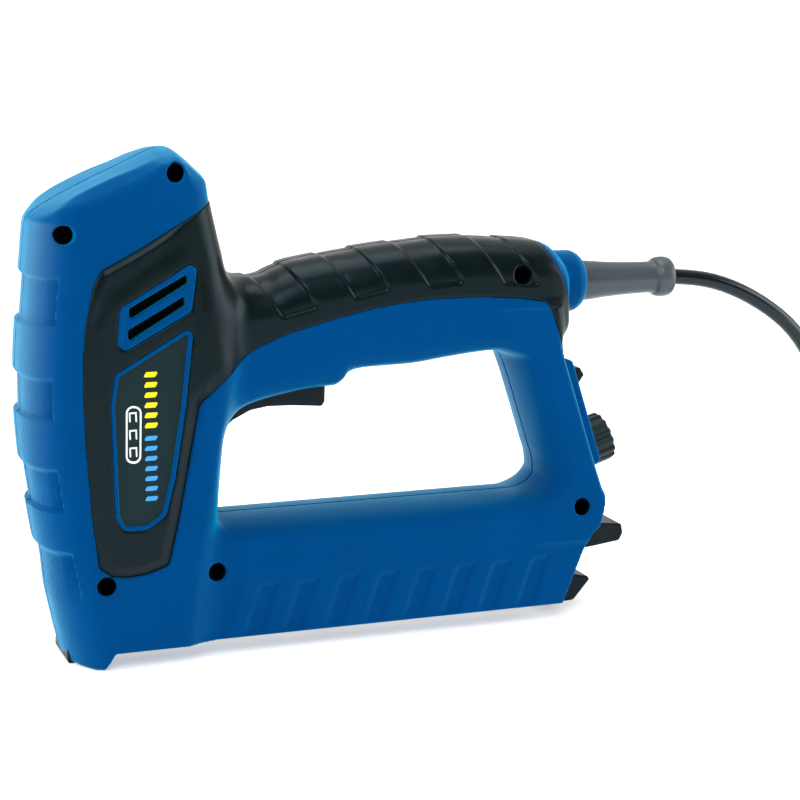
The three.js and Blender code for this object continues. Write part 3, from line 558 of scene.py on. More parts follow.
BADGE = rounded([(33.0, 98.2, 2), (56.8, 111.6, 1.6), (58.6, 109.6, 1.6), (55.8, 85.9), (51.8, 62.9),
                 (48.6, 50.8, 4.5), (42.6, 46.8, 6), (34.4, 46.9, 3.5), (32.0, 52), (31.4, 88)])
SLOTS = [rounded([(38.0, 119.1, 1), (57.6, 129.4, 0.9), (57.9, 126.0, 1.2), (38.2, 114.9, 1)]),
         rounded([(37.6, 112.1, 1), (56.5, 122.3, 0.9), (56.9, 118.9, 1.2), (37.7, 107.8, 1)])]
# Sunk finger panels across the handle's top.
PANEL_DEPTH = 0.55
PANELS = [rounded(corners) for corners in (
    [(79.6, 130.5), (81.1, 127.6), (90.9, 111.9, 1.4), (103.9, 114.8, 1.4), (93.3, 130.7), (91.5, 134)],
    [(105.3, 135), (106.7, 132.5), (116.2, 116.9, 1.4), (129.1, 119.6, 1.4), (118.8, 135.2), (117.5, 138)],
    [(130.6, 139), (132.2, 135.8), (142.3, 119.8, 1.4), (155.6, 120.4, 1.4), (145.3, 136.8), (143.6, 140)],
    [(157.6, 140), (159.7, 136.1), (169.6, 119.6, 1.4), (183.6, 118.2, 1.4), (172.1, 136.1), (170, 140)],
)]
# Slanting grooves in the base: where the steep side of each meets the sole. They lean as GROOVE_LEAN.
GROOVES = [82.3, 96.2, 110.5, 124.7, 138.8, 152.9, 166.6, 180.9]
GROOVE_LEAN, GROOVE_DEPTH = 6.4 / 18.4, 1.05
SOLE_Z = 5.7
# Screws: x, z and the y of the head's face.
SCREWS = [(18.9, 142.6, -15), (54.6, 161.0, -14), (28.9, 28.8, -15), (66.6, 29.1, -12),
          (176.6, 122.3, -9), (198.7, 40.0, -12)]
SHELL_BORE, GRIP_BORE = 3.1, 3.2    # radii over the screws, in the shell and in the overmould
BORE_DROP = 2.6                     # from the face of the screw's head to the bore's end
BORE_SHADE = (2.75, 3.3)           # inner and outer radius of the painted shade: a dark tube in each bore
# Sunk bands on the head's front, from the lower to the upper edge.
BANDS = [(23.2, 40.4), (54.0, 68.0), (84.0, 97.4), (113.8, 129.4)]
# Openings for the control panel's parts and for the trigger.
PANEL_HOLE = [(200.6, 51.6), (209, 53.4), (210, 56), (196.4, 91), (188, 92)]
TRIGGER_SLOT = rounded([(64, 66), (73.9, 74.2), (78, 82.0), (81, 83.6), (87, 85.4), (98.2, 87.0),
                        (109.6, 87.4), (111, 101.5), (64, 101.5)])


def head(x, y, z):
    """Distance to the head, which every part of the housing gives for y >= 0, negative inside."""
    t = HEAD_T - 4.6 * step(x - SLOPE(z), 0, 9)
    ru, rv = REAR_RU(z), REAR_RV(z)
    bow = 0.06 * y * (1 - step(x, 20, 50))
    d = cushion(x - bow, FRONT(z) + 0.15, REAR(z), y, t, (13.0, 19.0), (ru, rv))
    top = ROOF(x)
    crown = CROWN(x)
    roof = (z - top + crown * (y / 18.0) ** 2) * 0.9
    fall = np.maximum(top - crown - SHOULDER(x), 0.8) / 5.6
    shoulder = (z - top + crown + (y - 18.4) * fall) / np.hypot(1.15, fall)
    d = smax(d, shoulder, 2.0)
    return smax(d, roof, 0.6)


def handle(x, y, z):
    z0, z1, t = HANDLE(x, 1), HANDLE(x, 2), HANDLE(x, 3)
    h = (z1 - z0) / 2
    d = cushion(z, z0, z1, y, t, (h * 0.36, t * 0.42), (h * 0.66, t * 0.8))
    return np.maximum(smax(d, x - 196.0, 3.0), 56.0 - x)


BELL = Curve([(180, 10.8), (200.6, 10.6), (203, 9.6), (204.8, 7.6), (205.4, 5.0), (205.6, 0)])


def collar(x, y, z):
    """The round end of the handle that holds the cord boot."""
    r = np.hypot(y, (z - 117.2) * 0.985)
    return np.maximum(np.maximum(r - BELL(x), x - 205.5) * 0.8, 150 - x)


def strut(x, y, z):
    d = cushion(x, STRUT_F(z), STRUT_R(z), y, STRUT_T, (8.0, 18.4), (2.2, 3.0))
    return np.maximum(d, np.maximum(z - 110, 30 - z))


def base(x, y, z):
    d = cushion(z, -20.0, 44.4, y, BASE_T, (1.0, 1.0), (6.5, 17.8))
    return np.maximum(d, np.maximum(52 - x, x - 214))


def textured(x, z):
    """1 on the spark-textured front of the head, fading towards its side."""
    reach = (x - FRONT(z)) / 11.0
    return np.clip(1.15 - reach, 0, 1) * step(z, 12, 30) * (1 - step(z, 145.5, 147.5))


def painted_highlight(x, z):
    """Painted highlight: how much paler blue is painted on, most at the front of the upper head where it
    catches the light.
    """
    return 0.9 * textured(x, z)**3 * step(z, 50, 105)


def plain(x, y, z):
    """Outer form without small features."""
    y = np.abs(y)
    d = smin(head(x, y, z), handle(x, y, z), 8.0)
    d = smin(d, smin(strut(x, y, z), base(x, y, z), 5.0), 4.5)
    d = np.maximum(d, y - HEAD_T - 20 * step(x, 61, 72))
    return smin(d, collar(x, y, z), 0.8)


def features(x, y, z):
    """How far the surface lies below the plain form."""
    y = np.abs(y)
    down = 0.0
    for a, b in BANDS:
        inside = step(z, a - 0.4, a + 0.4) * (1 - step(z, b - 2.0, b + 0.4))
        if a < 30:      # the lowest one fades out downwards
            inside = step(z, a - 2, b - 2) * (1 - step(z, b - 2.4, b + 0.6))
        side = 1 - step(y, 20.9, 21.6)
        down = down + (1.5 + 1.0 * step(y, 16.5, 20.5)) * inside * side * (1 - step(x, 24, 30))
    on_side = step(y, 12, 15) * step(z, 5.4, 8.0)
    for x0 in GROOVES:
        s = x - (x0 + (z - SOLE_Z) * GROOVE_LEAN)
        across = step(s, -8.6, -5.2) * (1 - step(s, -0.9, 0.2))
        down = down + GROOVE_DEPTH * across * (1 - step(z, 21.6, 24.6)) * on_side
    s = x - (67.4 + (z - SOLE_Z) * 0.32)
    broad = step(s, -9, -1) * (1 - step(s, 0, 3.5))
    return down + 0.7 * broad * (1 - step(z, 22, 30)) * on_side


def grip_rise(x, y, z, g):
    """How far the overmould stands above the shell: it swells on the head, with a sloping border. g is
    the distance to its outline."""
    on_head = 1 - step(x + (z - 95) * 0.25, 58, 74)
    upper = step(z - 0.58 * x, 99, 107)
    facing = np.maximum(step(x, 36, 46), 1 - step(z, 38, 48)) * (1 - upper)
    swell = step(-g, 0.6, 6.4) * (1 - upper) + 0.7 * step(-g, 0.2, 2.2) * upper
    swell = swell * (1 - facing) + (1.6 * step(-g, 0.3, 5.0) - 0.6) * facing
    return (0.25 + 1.35 * swell * on_head) * step(y, 8, 15)


def panel_marks(x, z):
    """How deep the finger panels are sunk."""
    return sum(PANEL_DEPTH * (1 - step(poly(x, z, outline), -0.7, 0.1)) for outline in PANELS)


def windows(x, z):
    """The blue frames that stand through the overmould."""
    return np.minimum(poly(x, z, VENT), poly(x, z, BADGE))


def screw_holes(x, y, z, r):
    """Bores of radius r over the screws."""
    d = 1e9
    for sx, sz, face in SCREWS:
        d = np.minimum(d, np.maximum(np.hypot(x - sx, z - sz) - r, -face - BORE_DROP - y))
    return d


FRAME_RISE = 1.5      # how far the blue frames stand above the shell's side
GRIP_SEAT = 2.0       # how far the shell is sunk under the overmould,
BADGE_SEAT = 1.6      # under the badge plate
VENT_SEAT = 0.5       # and inside the vent's frame
SLOT_END = 12.6       # y where the vent's slots end
TRIGGER_ROOM = 7.7    # half widths of the openings for the trigger,
PANEL_ROOM = 11.3     # the control panel's parts,
MAGAZINE_ROOM = 10.2  # the magazine
LATCH_ROOM = 9.9      # and the latch
BOOT_ROOM = 7.4       # radius of the cord boot's hole


def shell_field(left):
    """A shell's field for y >= 0; only the left one has screw bores."""
    def field(x, y, z):
        d = plain(x, y, z) + features(x, y, z)
        d = np.maximum(d, poly(x, z, CUT))
        d = np.maximum(d, poly(x, z, SOLE))
        g = poly(x, z, GRIP)
        w = windows(x, z)
        soft = np.maximum(g, -w)
        # inside the overmould the shell lies lower; the windows stand through it
        d = d + GRIP_SEAT * (1 - step(soft, -0.5, -0.15))
        d = d - FRAME_RISE * (1 - step(w, -0.2, 0.5)) * (1 - step(x, 62, 66))
        d = d + BADGE_SEAT * (1 - step(poly(x, z, BADGE), -1.6, -1.2))
        d = d + VENT_SEAT * (1 - step(poly(x, z, VENT), -1.9, -1.2))
        for slot in SLOTS:
            d = np.maximum(d, -np.maximum(poly(x, z, slot), SLOT_END - y))
        if left:
            d = smax(d, -screw_holes(x, y, z, SHELL_BORE), 0.7)
        d = np.maximum(d, -np.maximum(poly(x, z, TRIGGER_SLOT), y - TRIGGER_ROOM))
        d = np.maximum(d, -np.maximum(poly(x, z, PANEL_HOLE), y - PANEL_ROOM))
        d = np.maximum(d, -np.maximum(np.abs(y) - MAGAZINE_ROOM, np.maximum(20 - x, z - 20.4)))
        latch = np.maximum(190.5 - x, np.abs(z - 25.8) - 5.5)
        d = np.maximum(d, -np.maximum(np.abs(y) - LATCH_ROOM, latch))
        d = np.maximum(d, -np.maximum(np.hypot(y, z - CORD_Z) - BOOT_ROOM, 194 - x))
        return smax(d, SEAM - y, 0.35)
    return field


def grip_field(left):
    """An overmould's field for y >= 0."""
    def field(x, y, z):
        g = poly(x, z, GRIP)
        d = plain(x, y, z) - grip_rise(x, y, z, g) + panel_marks(x, z)
        e = smax(g + 0.16, 0.16 - windows(x, z), 0.3)
        d = smax(d, e, 0.45)
        if left:
            d = smax(d, -screw_holes(x, y, z, GRIP_BORE), 0.4)
        return smax(d, SEAM - y, 0.35)
    return field


def half(name, field, low, high, material, left, keep_depth, nodes, slot, values=()):
    """One side of the housing, without what lies deeper than keep_depth inside it. Each of values is the
    name and function of a value that the mesh carries."""
    pos, faces = nets(field, low, high, FINE)
    pos, faces = tidy(pos, faces, plain(*pos.T) > -keep_depth)
    side_of = (1, -1, 1) if left else (1, 1, 1)
    o = mesh_object(name, metres(pos * side_of), faces[:, ::-1] if left else faces, material,
                    stands_for=nodes)
    for value, at in values:
        att = o.data.attributes.new(value, "FLOAT", "POINT")
        att.data.foreach_set("value", np.asarray(at(pos[:, 0], pos[:, 2]), np.float32))
    return o


for side, sign in SIDES:
    near = sign < 0
    # the shell carries the spark texture's mask and the painted highlight's mask
    half(f"{side}_shell_skin", shell_field(near), (2, -0.6, -1.5), (212, 27, 171), BLUE, near, 12.5,
         (f"{side}_housing_shell",), "blue_housing", (("spark", textured), ("highlight_paint", painted_highlight)))
    half(f"{side}_grip_skin", grip_field(near), (20, -0.6, 28), (206, 28, 157), RUBBER, near, 3.0,
         (f"{side}_grip_overmould",), "soft_grip")


# ---------------- small moulded pieces
def piece(name, field, low, high, pitch, material, body, nodes, place=None):
    """The surface where field is zero, moved by place."""
    pos, faces = nets(field, low, high, pitch)
    if place is not None:
        pos = place(pos)
    return mesh_object(name, metres(pos), faces, material, body=body, stands_for=nodes)


TRIGGER = rounded([(58.8, 84, 2), (69.4, 79.4, 3), (73.4, 74.3, 0.5), (76.6, 77.0, 3), (82.6, 79.9, 5),
                   (88.7, 80.8, 6), (96.5, 80.6), (103.6, 80.0), (107.6, 79.6, 1), (108.7, 81.2, 0.8),
                   (109.0, 90, 1), (107, 95.2, 0.6), (100, 95.2), (97, 93), (72, 90.2), (59.8, 90.8, 2)])
piece("trigger_skin", lambda x, y, z: slab(TRIGGER, y, x, z, 7.2, 1.3), (57, -8, 72.5), (110.5, 8, 97),
      0.45, BLACK, "trigger", ("trigger",))

LATCH = rounded([(193, 18.6), (194.4, 18.6), (195.6, 21.4), (203, 21.8), (219.0, 23.2, 1.4),
                 (220.4, 25.9, 1.2), (219.8, 29.4, 1.0), (209.8, 30.7, 1), (200, 30.1),
                 (190.2, 29.5, 0.6), (190.2, 27.7, 0.6), (192.8, 27.1)])
piece("latch_skin", lambda x, y, z: slab(LATCH, y, x, z, 8.7 - 0.9 * step(x, 207, 219), 0.7),
      (188, -9.6, 17), (221, 9.6, 32.4), 0.4, BLACK, "latch", ("magazine_latch",))

CAP = rounded([(190.2, 4.4, 0.5), (197, 3.0, 2), (200.8, 3.2, 2), (207.2, 10.4, 0.7), (206.2, 11.5, 0.5),
               (199.6, 12.9, 1), (196.6, 17.6, 0.6), (190.2, 17.6, 0.5)])
piece("end_cap_skin", lambda x, y, z: slab(CAP, y, x, z, 8.9, 0.6), (188.6, -9.6, 2), (208, 9.6, 19), 0.4,
      BLACK, "magazine", ("magazine_end_cap",))

LEAN = math.atan2(13.0, 41.0)       # of the strut, towards the head
CL, SL = math.cos(LEAN), math.sin(LEAN)
DIAL_U = 5.2                        # the dial's and the rocker opening's places up the strut
ROCKER_U = 28.8


def on_strut(pos):
    """From the strut's own axes, w out of it and u up along it, to the frame."""
    w, y, u = pos.T
    return np.stack([205.2 + w * CL - u * SL, y, 52 + w * SL + u * CL], 1)


PANEL_SIDE = rounded([(0.3, -0.2, 0.4), (4.6, 0.9, 1.2), (4.6, 39, 2.0), (1.8, 41.4, 1.2), (0.3, 41, 0.4)])


def panel_field(w, y, u):
    """A plate with the rocker's opening, the dial's hole and a ring round the dial."""
    d = slab(PANEL_SIDE, y, w, u, 12.0, 0.7)
    d = np.maximum(d, -np.maximum(np.abs(y) - 7.1, np.abs(u - ROCKER_U) - 8.7))
    d = np.maximum(d, -(np.hypot(y, u - DIAL_U) - 3.4))
    ring = np.abs(np.hypot(y, u - DIAL_U) - 10.4) - 0.3
    return np.maximum(d, -np.maximum(np.maximum(ring, 4.3 - w), 0 - u))


piece("control_panel_skin", panel_field, (-0.5, -12.8, -1), (5.5, 12.8, 42.4), 0.4, RIM_BLUE, "housing",
      ("rear_control_panel",), on_strut)

KEY = rounded([(-2.6, 26.4, 0.3), (2.2, 22.1, 0.3), (5.1, 22.2, 0.6), (5.4, 24.6, 2), (6.2, 28, 4),
               (9.7, 30.7, 0.6), (8.9, 33.9, 0.6), (3, 34.3, 0.3), (-2.6, 31.4, 0.3)])
piece("rocker_key_skin", lambda w, y, u: slab(KEY, y, w, u, 5.5, 0.5), (-3.4, -6, 21), (10.6, 6, 35.4), 0.3,
      BLACK, "rocker", ("rocker_switch_key",), on_strut)


def dial_field(w, y, u):
    """A fluted cap with a hub, a pointer mark and a hole for its shaft."""
    v = u - DIAL_U
    r = np.hypot(y, v)
    a = np.arctan2(v, y)
    edge = 8.35 + 0.42 * np.tanh(2.2 * np.cos(14 * a)) - 0.25 * step(w, 11.2, 13)
    d = smax(r - edge, np.maximum(w - 12.9, 4.9 - w), 0.8)
    d = np.maximum(d, -np.maximum(r - 6.3, 12.2 - w))
    hub = smax(r - 5.2, w - 12.8, 0.5)
    d = np.minimum(d, np.maximum(hub, 5.0 - w))
    mark = np.maximum(np.abs(y) - 0.55, np.maximum(np.maximum(1.2 - v, v - 8.2), 12.1 - w))
    d = np.maximum(d, -mark)
    return np.maximum(d, -np.maximum(r - 2.2, w - 10.0))


piece("dial_skin", dial_field, (4.2, -9.4, DIAL_U - 9.4), (13.6, 9.4, DIAL_U + 9.4), 0.3, DIAL, "dial",
      ("power_dial",), on_strut)


BLADE_GUIDE = rounded([(18.6, 0.0), (20.6, 0.0), (20.6, 43.6, 0.4), (18.9, 43.6, 0.4), (18.4, 12, 0.5),
                       (17.9, 1.2, 0.6)])
piece("nose_front_skin", lambda x, y, z: slab(BLADE_GUIDE, y, x, z, 10.4, 0.25), (17, -11, -0.5),
      (21.4, 11, 44.2), 0.5, DARK_STEEL, "housing", ("nose_front_plate",))

# Painted shade in the vent slots: dark plates set just behind them, where there is only shade.
SHADE_SHEET_Y = 20.2


def vent_shade_field(y0):
    """Painted shade: a dark plate close behind each vent slot, standing in for the shade inside it."""
    def field(x, y, z):
        return np.minimum(*(slab(slot, y - y0, x, z, 0.7, 0.1) for slot in SLOTS)) - 0.35
    return field


# the painted-shade plates, one behind each side's vent
for _side, _sign in SIDES:
    _y = _sign * SHADE_SHEET_Y
    piece(f"{_side}_vent_shade_sheet", vent_shade_field(_y), (36, _y - 1.8, 106), (59.6, _y + 1.8, 131), 0.4, SHADOW,
          "housing", ())


def skin_y(x, z):
    """How far out in y the plain form reaches at x, z."""
    lo, hi = 2.0, 30.0
    for _ in range(20):
        mid = (lo + hi) / 2
        if float(plain(x, mid, z)) < 0:
            lo = mid
        else:
            hi = mid
    return lo


def shade_bores():
    """Painted shade: a dark tube in each screw's bore, from just under the skin down to the screw's head.
    """
    n = 40
    turn = [2 * math.pi * k / n for k in range(n)]
    inner, outer = BORE_SHADE
    verts, faces = [], []
    for x, z, y in SCREWS:
        top = min(skin_y(x + 3.4 * math.cos(a), z + 3.4 * math.sin(a)) for a in turn[::4]) - 0.35
        at = len(verts)
        for r, out in ((inner, -y), (outer, -y), (outer, top), (inner, top)):
            verts += [(x + r * math.cos(a), -out, z + r * math.sin(a)) for a in turn]
        for i in range(4):
            here, there = at + i * n, at + (i + 1) % 4 * n
            for k in range(n):
                m = (k + 1) % n
                faces.append((here + k, here + m, there + m, there + k))
    mesh_object("screw_bore_shade", metres(verts), faces, SHADOW, smooth=False)


shade_bores()


def screw_field(x, y, z):
    """A cross-recessed screw along y, with the face of its head at 0."""
    r = np.hypot(x, z)
    headpart = smax(r - 2.7, np.abs(y - 1.1) - 1.1, 0.4)
    shank = np.maximum(r - 1.5, np.maximum(y - 20.6, 1.6 - y))
    cross = np.minimum(np.maximum(np.abs(x) - 0.42, np.abs(z) - 1.6 + y),
                       np.maximum(np.abs(z) - 0.42, np.abs(x) - 1.6 + y))
    d = np.minimum(headpart, shank)
    return np.maximum(d, -np.maximum(cross, y - 1.3))


_pos, _faces = nets(screw_field, (-3.2, -0.5, -3.2), (3.2, 21, 3.2), 0.3, 2)
for _i in range(len(SCREWS)):
    _lo, _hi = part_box(f"housing_screw_{_i + 1}")
    _c = ((_lo.x + _hi.x) / 2 * 1000 + MID, _lo.y * 1000, (_lo.z + _hi.z) / 2 * 1000)
    mesh_object(f"screw_{_i + 1}_skin", metres(_pos + np.array(_c)), _faces, OXIDE,
                stands_for=(f"housing_screw_{_i + 1}",))


# ---------------- springs, each given a mesh of its own
# Each spring's joint, axis, fixed end of its box and travel.
for _name, _joint, _axis, _end, _travel in (
    ("plunger_spring", "drive_slide", 2, 0, 15.5),
    ("trigger_spring", "trigger_pivot", 2, 1, 1.8),
    ("latch_spring", "latch_pivot", 2, 1, 1.0),
    ("pusher_spring", "pusher_slide", 0, 1, 45.0),
):
    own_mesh(NODES[_name])


# ---------------- badge
def inset(points, d):
    """The outline moved inwards by d, by following its own distance field."""
    h = 0.01
    c = np.array(points)
    centre = c.mean(0)
    out = []
    for p in c:
        q = p.copy()
        for _ in range(40):
            gap = -float(poly(q[0], q[1], points))
            if gap >= d:
                break
            g = np.array([float(poly(q[0] + h, q[1], points) - poly(q[0] - h, q[1], points)),
                          float(poly(q[0], q[1] + h, points) - poly(q[0], q[1] - h, points))])
            g = g / max(np.hypot(*g), 1e-9)
            if np.hypot(*g) < 0.5:
                g = -(centre - q) / np.hypot(*(centre - q))
            q = q - g * max(d - gap, 0.02)
        out.append((float(q[0]), float(q[1])))
    return out


def sticker(name, outlines, y, thick, material, side, nodes=(), lift=0.0):
    """Flat printed shapes on the badge, each a thin slab whose face lies at y."""
    verts, faces = [], []
    for pts in outlines:
        n = len(pts)
        at = len(verts)
        top = [(x, side * y, z) for x, z in pts]
        low = [(x, side * (y - thick), z) for x, z in pts]
        verts += top + low
        front = list(range(at, at + n))
        rear = list(range(at + n, at + 2 * n))
        faces.append(front)
        faces.append(rear[::-1])
        for k in range(n):
            m = (k + 1) % n
            faces.append((front[k], rear[k], rear[m], front[m]))
    o = mesh_object(name, metres(verts), faces, material, smooth=False, stands_for=nodes)
    face_outwards(o)
    return o


def face_outwards(o):
    """Turns all faces outwards."""
    bm = bmesh.new()
    bm.from_mesh(o.data)
    bmesh.ops.recalc_face_normals(bm, faces=bm.faces)
    bm.to_mesh(o.data)
    bm.free()


def bar(x, z, length, width, angle, r=0.35, lean=0.0):
    """A small rounded bar centred at x, z."""
    c, s = math.cos(angle), math.sin(angle)
    u, v = length / 2, width / 2
    corners = [(-u - lean, -v), (u - lean, -v), (u + lean, v), (-u + lean, v)]
    return rounded([(x + u * c - v * s, z + u * s + v * c, r) for u, v in corners], 3)


PLATE_Y = 24.35       # the badge plate's face
INK_Y = PLATE_Y + 0.05
for side, sign in SIDES:
    plate = inset(BADGE, 1.35)
    sticker(f"{side}_badge", [plate], PLATE_Y, 0.5, PLATE, sign, (f"{side}_badge_plate",))
    pill_outer = rounded([(35.9, 69.2, 2.4), (40.9, 68.6, 2.4), (41.5, 87.3, 2.4), (36.4, 88.0, 2.4)], 6)
    pill_inner = rounded([(36.5, 69.9, 1.8), (40.35, 69.4, 1.8), (40.9, 86.7, 1.8), (36.95, 87.3, 1.8)], 6)
    sticker(f"{side}_pill", [pill_outer], INK_Y, 0.04, WHITE_INK, sign)
    sticker(f"{side}_pill_field", [pill_inner], INK_Y + 0.02, 0.04, PLATE, sign)
    wires = []
    for k in range(3):
        zc = 72.6 + k * 5.7
        xc = 38.55 + k * 0.06
        wires.append(bar(xc - 0.1, zc + 1.4, 2.6, 0.55, 0.02, 0.2))
        wires.append(bar(xc - 1.13, zc - 0.1, 0.5, 2.9, 0.02, 0.2))
        wires.append(bar(xc + 0.93, zc - 0.1, 0.5, 2.9, 0.02, 0.2))
    sticker(f"{side}_staple_marks", wires, INK_Y + 0.04, 0.04, WHITE_INK, sign)
    blue_bars = [bar(44.15 + 0.03 * k, 57.0 + 3.3 * k, 3.9, 1.5, 0.0, 0.4, 0.5) for k in range(7)]
    yellow_bars = [bar(44.5 + 0.03 * k, 81.0 + 3.3 * k, 3.9, 1.7, 0.0, 0.4, 0.5) for k in range(6)]
    sticker(f"{side}_blue_bars", blue_bars, INK_Y, 0.04, LIGHT_BLUE_INK, sign)
    sticker(f"{side}_yellow_bars", yellow_bars, INK_Y, 0.04, YELLOW_INK, sign)


# ---------------- cord boot
def turned(name, profile, material, segments, body, nodes):
    """Profile of (x along the axis, radius), turned about the cord's axis."""
    verts, faces = [], []
    n = len(profile)
    for x, r in profile:
        for k in range(segments):
            a = 2 * math.pi * k / segments
            verts.append((x, r * math.cos(a), CORD_Z + r * math.sin(a)))
    for i in range(n):
        j = (i + 1) % n
        for k in range(segments):
            m = (k + 1) % segments
            faces.append((i * segments + k, j * segments + k, j * segments + m, i * segments + m))
    o = mesh_object(name, metres(verts), faces, material, body=body, stands_for=nodes)
    face_outwards(o)
    return o


_bell = hermite([(195.6, 7.0), (204.4, 7.0), (207, 6.95), (214, 6.3), (224, 5.72), (231, 5.55),
                 (233.4, 5.75)], 6)
_ring = [(233.5 + 3.3 - 3.3 * math.cos(t), 5.7 + 1.45 * math.sin(t) ** 0.8)
         for t in [math.pi * k / 14 for k in range(1, 14)]]
_mouth = [(240.1, 5.4), (240.2, 4.6), (239.6, 3.6), (238.4, 3.0)]
turned("boot_skin", [(195.6, 3.0)] + [tuple(p) for p in _bell] + _ring + _mouth, BOOT, 72, "housing",
       ("cord_boot",))


# ---------------- cord, coil, tie and plug
CORD_R = 2.8
CORD_PITCH = 5.6      # between neighbouring turns of the coil
COIL_X = 346.0
ROUTE = [(214, 0, 117), (220, 0, 117), (228, 0, 117), (237, 0, 117), (247, 0, 116.4), (258, 0, 114.7),
         (270, 0, 110.1), (282, 0, 103.2), (293, 1, 94.6), (303, 5, 82.6), (313, 11.4, 68.6),
         (321.6, 17, 54.6), (329, 21.0, 43), (336, 24.2, 34.2), (342.5, 25.4, 28.8)]
# Column and layer of each turn.
ORDER = [(0, 4), (0, 3), (0, 2), (0, 1), (0, 0), (1, 0), (1, 1), (1, 2), (1, 3), (1, 4)]
TURNS = len(ORDER) - 1
PER_TURN = 28


def coil_points():
    """Down the inner column from the top, then up the outer one."""
    pts = []
    for i in range(TURNS * PER_TURN + 1):
        turn = i / PER_TURN
        k = min(int(turn), TURNS - 1)
        now, then = ORDER[k], ORDER[k + 1]
        t = float(step(turn - k, 0.80, 0.99))
        rad = 25.4 + CORD_PITCH * (now[0] + (then[0] - now[0]) * t)
        z = 3.8 + CORD_PITCH * (now[1] + (then[1] - now[1]) * t)
        a = math.pi / 2 - 2 * math.pi * turn
        pts.append((COIL_X + rad * math.cos(a), rad * math.sin(a), z))
    return pts


def spline(name, points, radius, material, resolution):
    """A round bar along a smooth curve near the points."""
    data = bpy.data.curves.new(name, "CURVE")
    data.dimensions = "3D"
    data.bevel_depth = radius / 1000
    data.bevel_resolution = 6
    data.resolution_u = resolution
    data.use_fill_caps = True
    s = data.splines.new("NURBS")
    s.points.add(len(points) - 1)
    for p, (x, y, z) in zip(s.points, points):
        v = vec(x, y, z)
        p.co = (v.x, v.y, v.z, 1)
    s.order_u = 4
    s.use_endpoint_u = True
    data.materials.append(material)
    o = bpy.data.objects.new(name, data)
    bpy.context.scene.collection.objects.link(o)
    return o


# The cord's last stretch, from the coil into the plug.
_loop = [(COIL_X + 6, 31, 26.6), (COIL_X + 13, 30.8, 27.6), (COIL_X + 20, 30.6, 29.2)]
_loop += [(COIL_X + 27 + 19.8 * math.sin(_t), 10.8 + 19.8 * math.cos(_t),
           30.6 + 13.2 * float(step(_t, 0, 3.0))) for _t in [math.pi * _k / 10 for _k in range(11)]]
_loop += [(COIL_X + 20, -9, 44), (COIL_X + 12, -9, 44)]
flex = spline("mains_cord", ROUTE + coil_points() + _loop, CORD_R, SHEATH, 3)
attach(flex, "housing")
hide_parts("power_cord", "cord_coil")
inner = spline("cord_inside", [(x, 0, CORD_Z) for x in (186, 195, 204, 213.4)], CORD_R, SHEATH, 3)
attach(inner, "housing")


TIE_X = COIL_X + 28.2


def tie_field(x, y, z):
    a = np.maximum(np.abs(x - TIE_X) - 6.9, np.abs(z - 15.0) - 14.8)
    b = np.maximum(np.abs(x - TIE_X) - 6.0, np.abs(z - 15.0) - 14.25)
    return np.maximum(np.maximum(a, -b), np.abs(y) - 3.6)


tie = piece("cord_tie", tie_field, (TIE_X - 7.6, -4.4, -0.4), (TIE_X + 7.6, 4.4, 30.6), 0.35, BLACK,
            "housing", ("coil_tie",))

PX, PY, PZ = 341.0, -9.0, 29.3
PLUG = rounded([(PX - 24, PY - 22, 9), (PX + 16, PY - 22, 6), (PX + 22, PY - 8, 4), (PX + 22, PY + 8, 4),
                (PX + 16, PY + 22, 6), (PX - 24, PY + 22, 9)])


def plug_field(x, y, z):
    """A moulded plug with a parting line, finger ribs and a ringed cord exit."""
    edge = poly(x, y, PLUG)
    a = edge + 2.4
    b = np.abs(z - PZ - 12.6) - 12.5 + 2.4
    d = np.minimum(np.maximum(a, b), 0) + np.hypot(np.maximum(a, 0), np.maximum(b, 0)) - 2.4
    d = np.maximum(d, -np.maximum(np.abs(z - PZ - 15.4) - 0.25, -(edge + 0.6)))
    ribs = np.maximum(np.abs(np.abs(y - PY) - 21.9) - 1.2, np.abs((x - PX + 10) % 5 - 2.5) - 0.9)
    ribs = np.maximum(ribs, np.maximum(np.abs(x - PX + 2) - 13, z - PZ - 14))
    d = np.maximum(d, -(ribs + 0.35))
    ring = step(np.abs((x % 3.2) - 1.6), 0.7, 1.0) * step(x, PX + 24, PX + 25)
    nose = np.hypot(y - PY, z - PZ - 14.7) - (4.0 - 0.4 * ring)
    return smin(d, np.maximum(nose, np.maximum(x - PX - 33.8, PX + 15 - x)), 0.8)


plug = piece("plug_skin", plug_field, (PX - 25.5, PY - 23.5, PZ - 0.6), (PX + 35, PY + 23.5, PZ + 26), 0.6,
             BLACK, "housing", ("plug_body",))


# ---------------- light, floor and surroundings
def area_light(name, place, size, power):
    """A square light aimed at the middle of the model."""
    data = bpy.data.lights.new(name, "AREA")
    data.energy = power
    data.size = size
    o = bpy.data.objects.new(name, data)
    bpy.context.scene.collection.objects.link(o)
    o.location = place
    o.rotation_euler = (Vector(place) - Vector((0, 0, 0.08))).to_track_quat("Z", "Y").to_euler()


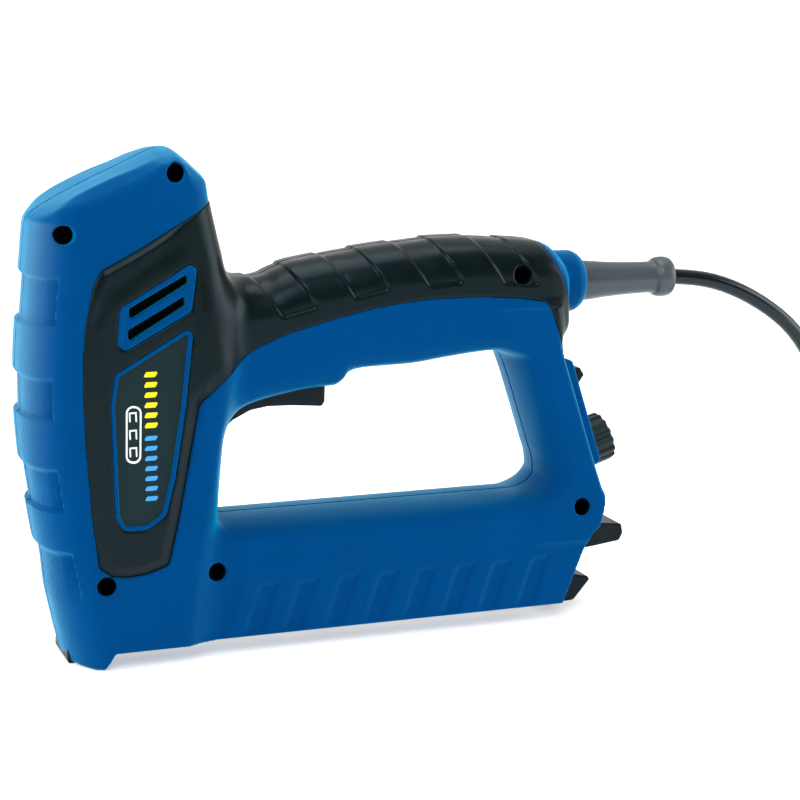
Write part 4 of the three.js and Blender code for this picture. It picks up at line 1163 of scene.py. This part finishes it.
def surroundings():
    """Bright studio behind and to the sides, darker towards the camera."""
    world = bpy.data.worlds.new("studio")
    bpy.context.scene.world = world
    world.use_nodes = True
    t = world.node_tree
    bg = t.nodes["Background"]
    co = t.nodes.new("ShaderNodeTexCoord").outputs["Generated"]
    sep = t.nodes.new("ShaderNodeSeparateXYZ")
    link(t, co, sep.inputs["Vector"])
    back = mapped(t, sep.outputs["Y"], -0.75, 0.15, 0.0, 1.0)
    col = ramp(t, back, [(0.0, (0.16, 0.16, 0.16)), (0.4, (0.34, 0.345, 0.35)), (1.0, (1.0, 1.0, 1.0))])
    link(t, col, bg.inputs["Color"])
    bg.inputs["Strength"].default_value = 1.0


surroundings()

def make_floor():
    """White floor that curves up into a wall behind the model."""
    material, t, p = new_material("floor_white")
    grey = noise(t, object_coords(t), 3.0, 2.0)
    grey = ramp(t, grey, [(0.3, (0.86, 0.86, 0.86)), (0.7, (0.88, 0.88, 0.88))])
    link(t, grey, p.inputs["Base Color"])
    p.inputs["Roughness"].default_value = 0.8
    p.inputs["Emission Color"].default_value = (1, 1, 1, 1)
    p.inputs["Emission Strength"].default_value = 0.42
    n = 24
    bend = [math.pi / 2 * k / n for k in range(1, n + 1)]
    profile = [(-3.0, 0.0), (1.6, 0.0)] + [(1.6 + 0.9 * math.sin(a), 0.9 - 0.9 * math.cos(a)) for a in bend]
    profile.append((2.5, 3.5))
    mesh = bpy.data.meshes.new("floor")
    mesh.from_pydata([(x, y, z) for y, z in profile for x in (-5.0, 5.0)], [],
                     [(2 * i, 2 * i + 1, 2 * i + 3, 2 * i + 2) for i in range(len(profile) - 1)])
    mesh.materials.append(material)
    mesh.polygons.foreach_set("use_smooth", [True] * len(mesh.polygons))
    floor = bpy.data.objects.new("floor", mesh)
    bpy.context.scene.collection.objects.link(floor)


make_floor()
area_light("key", (-0.35, -1.15, 1.1), 0.9, 13)
area_light("top", (0.05, 0.05, 1.5), 1.0, 10.5)
area_light("left", (-1.3, -0.1, 0.5), 0.8, 11)
area_light("right", (1.3, -0.4, 0.45), 0.9, 10)

bpy.context.scene.view_settings.view_transform = "Standard"
bpy.context.scene.view_settings.look = "None"
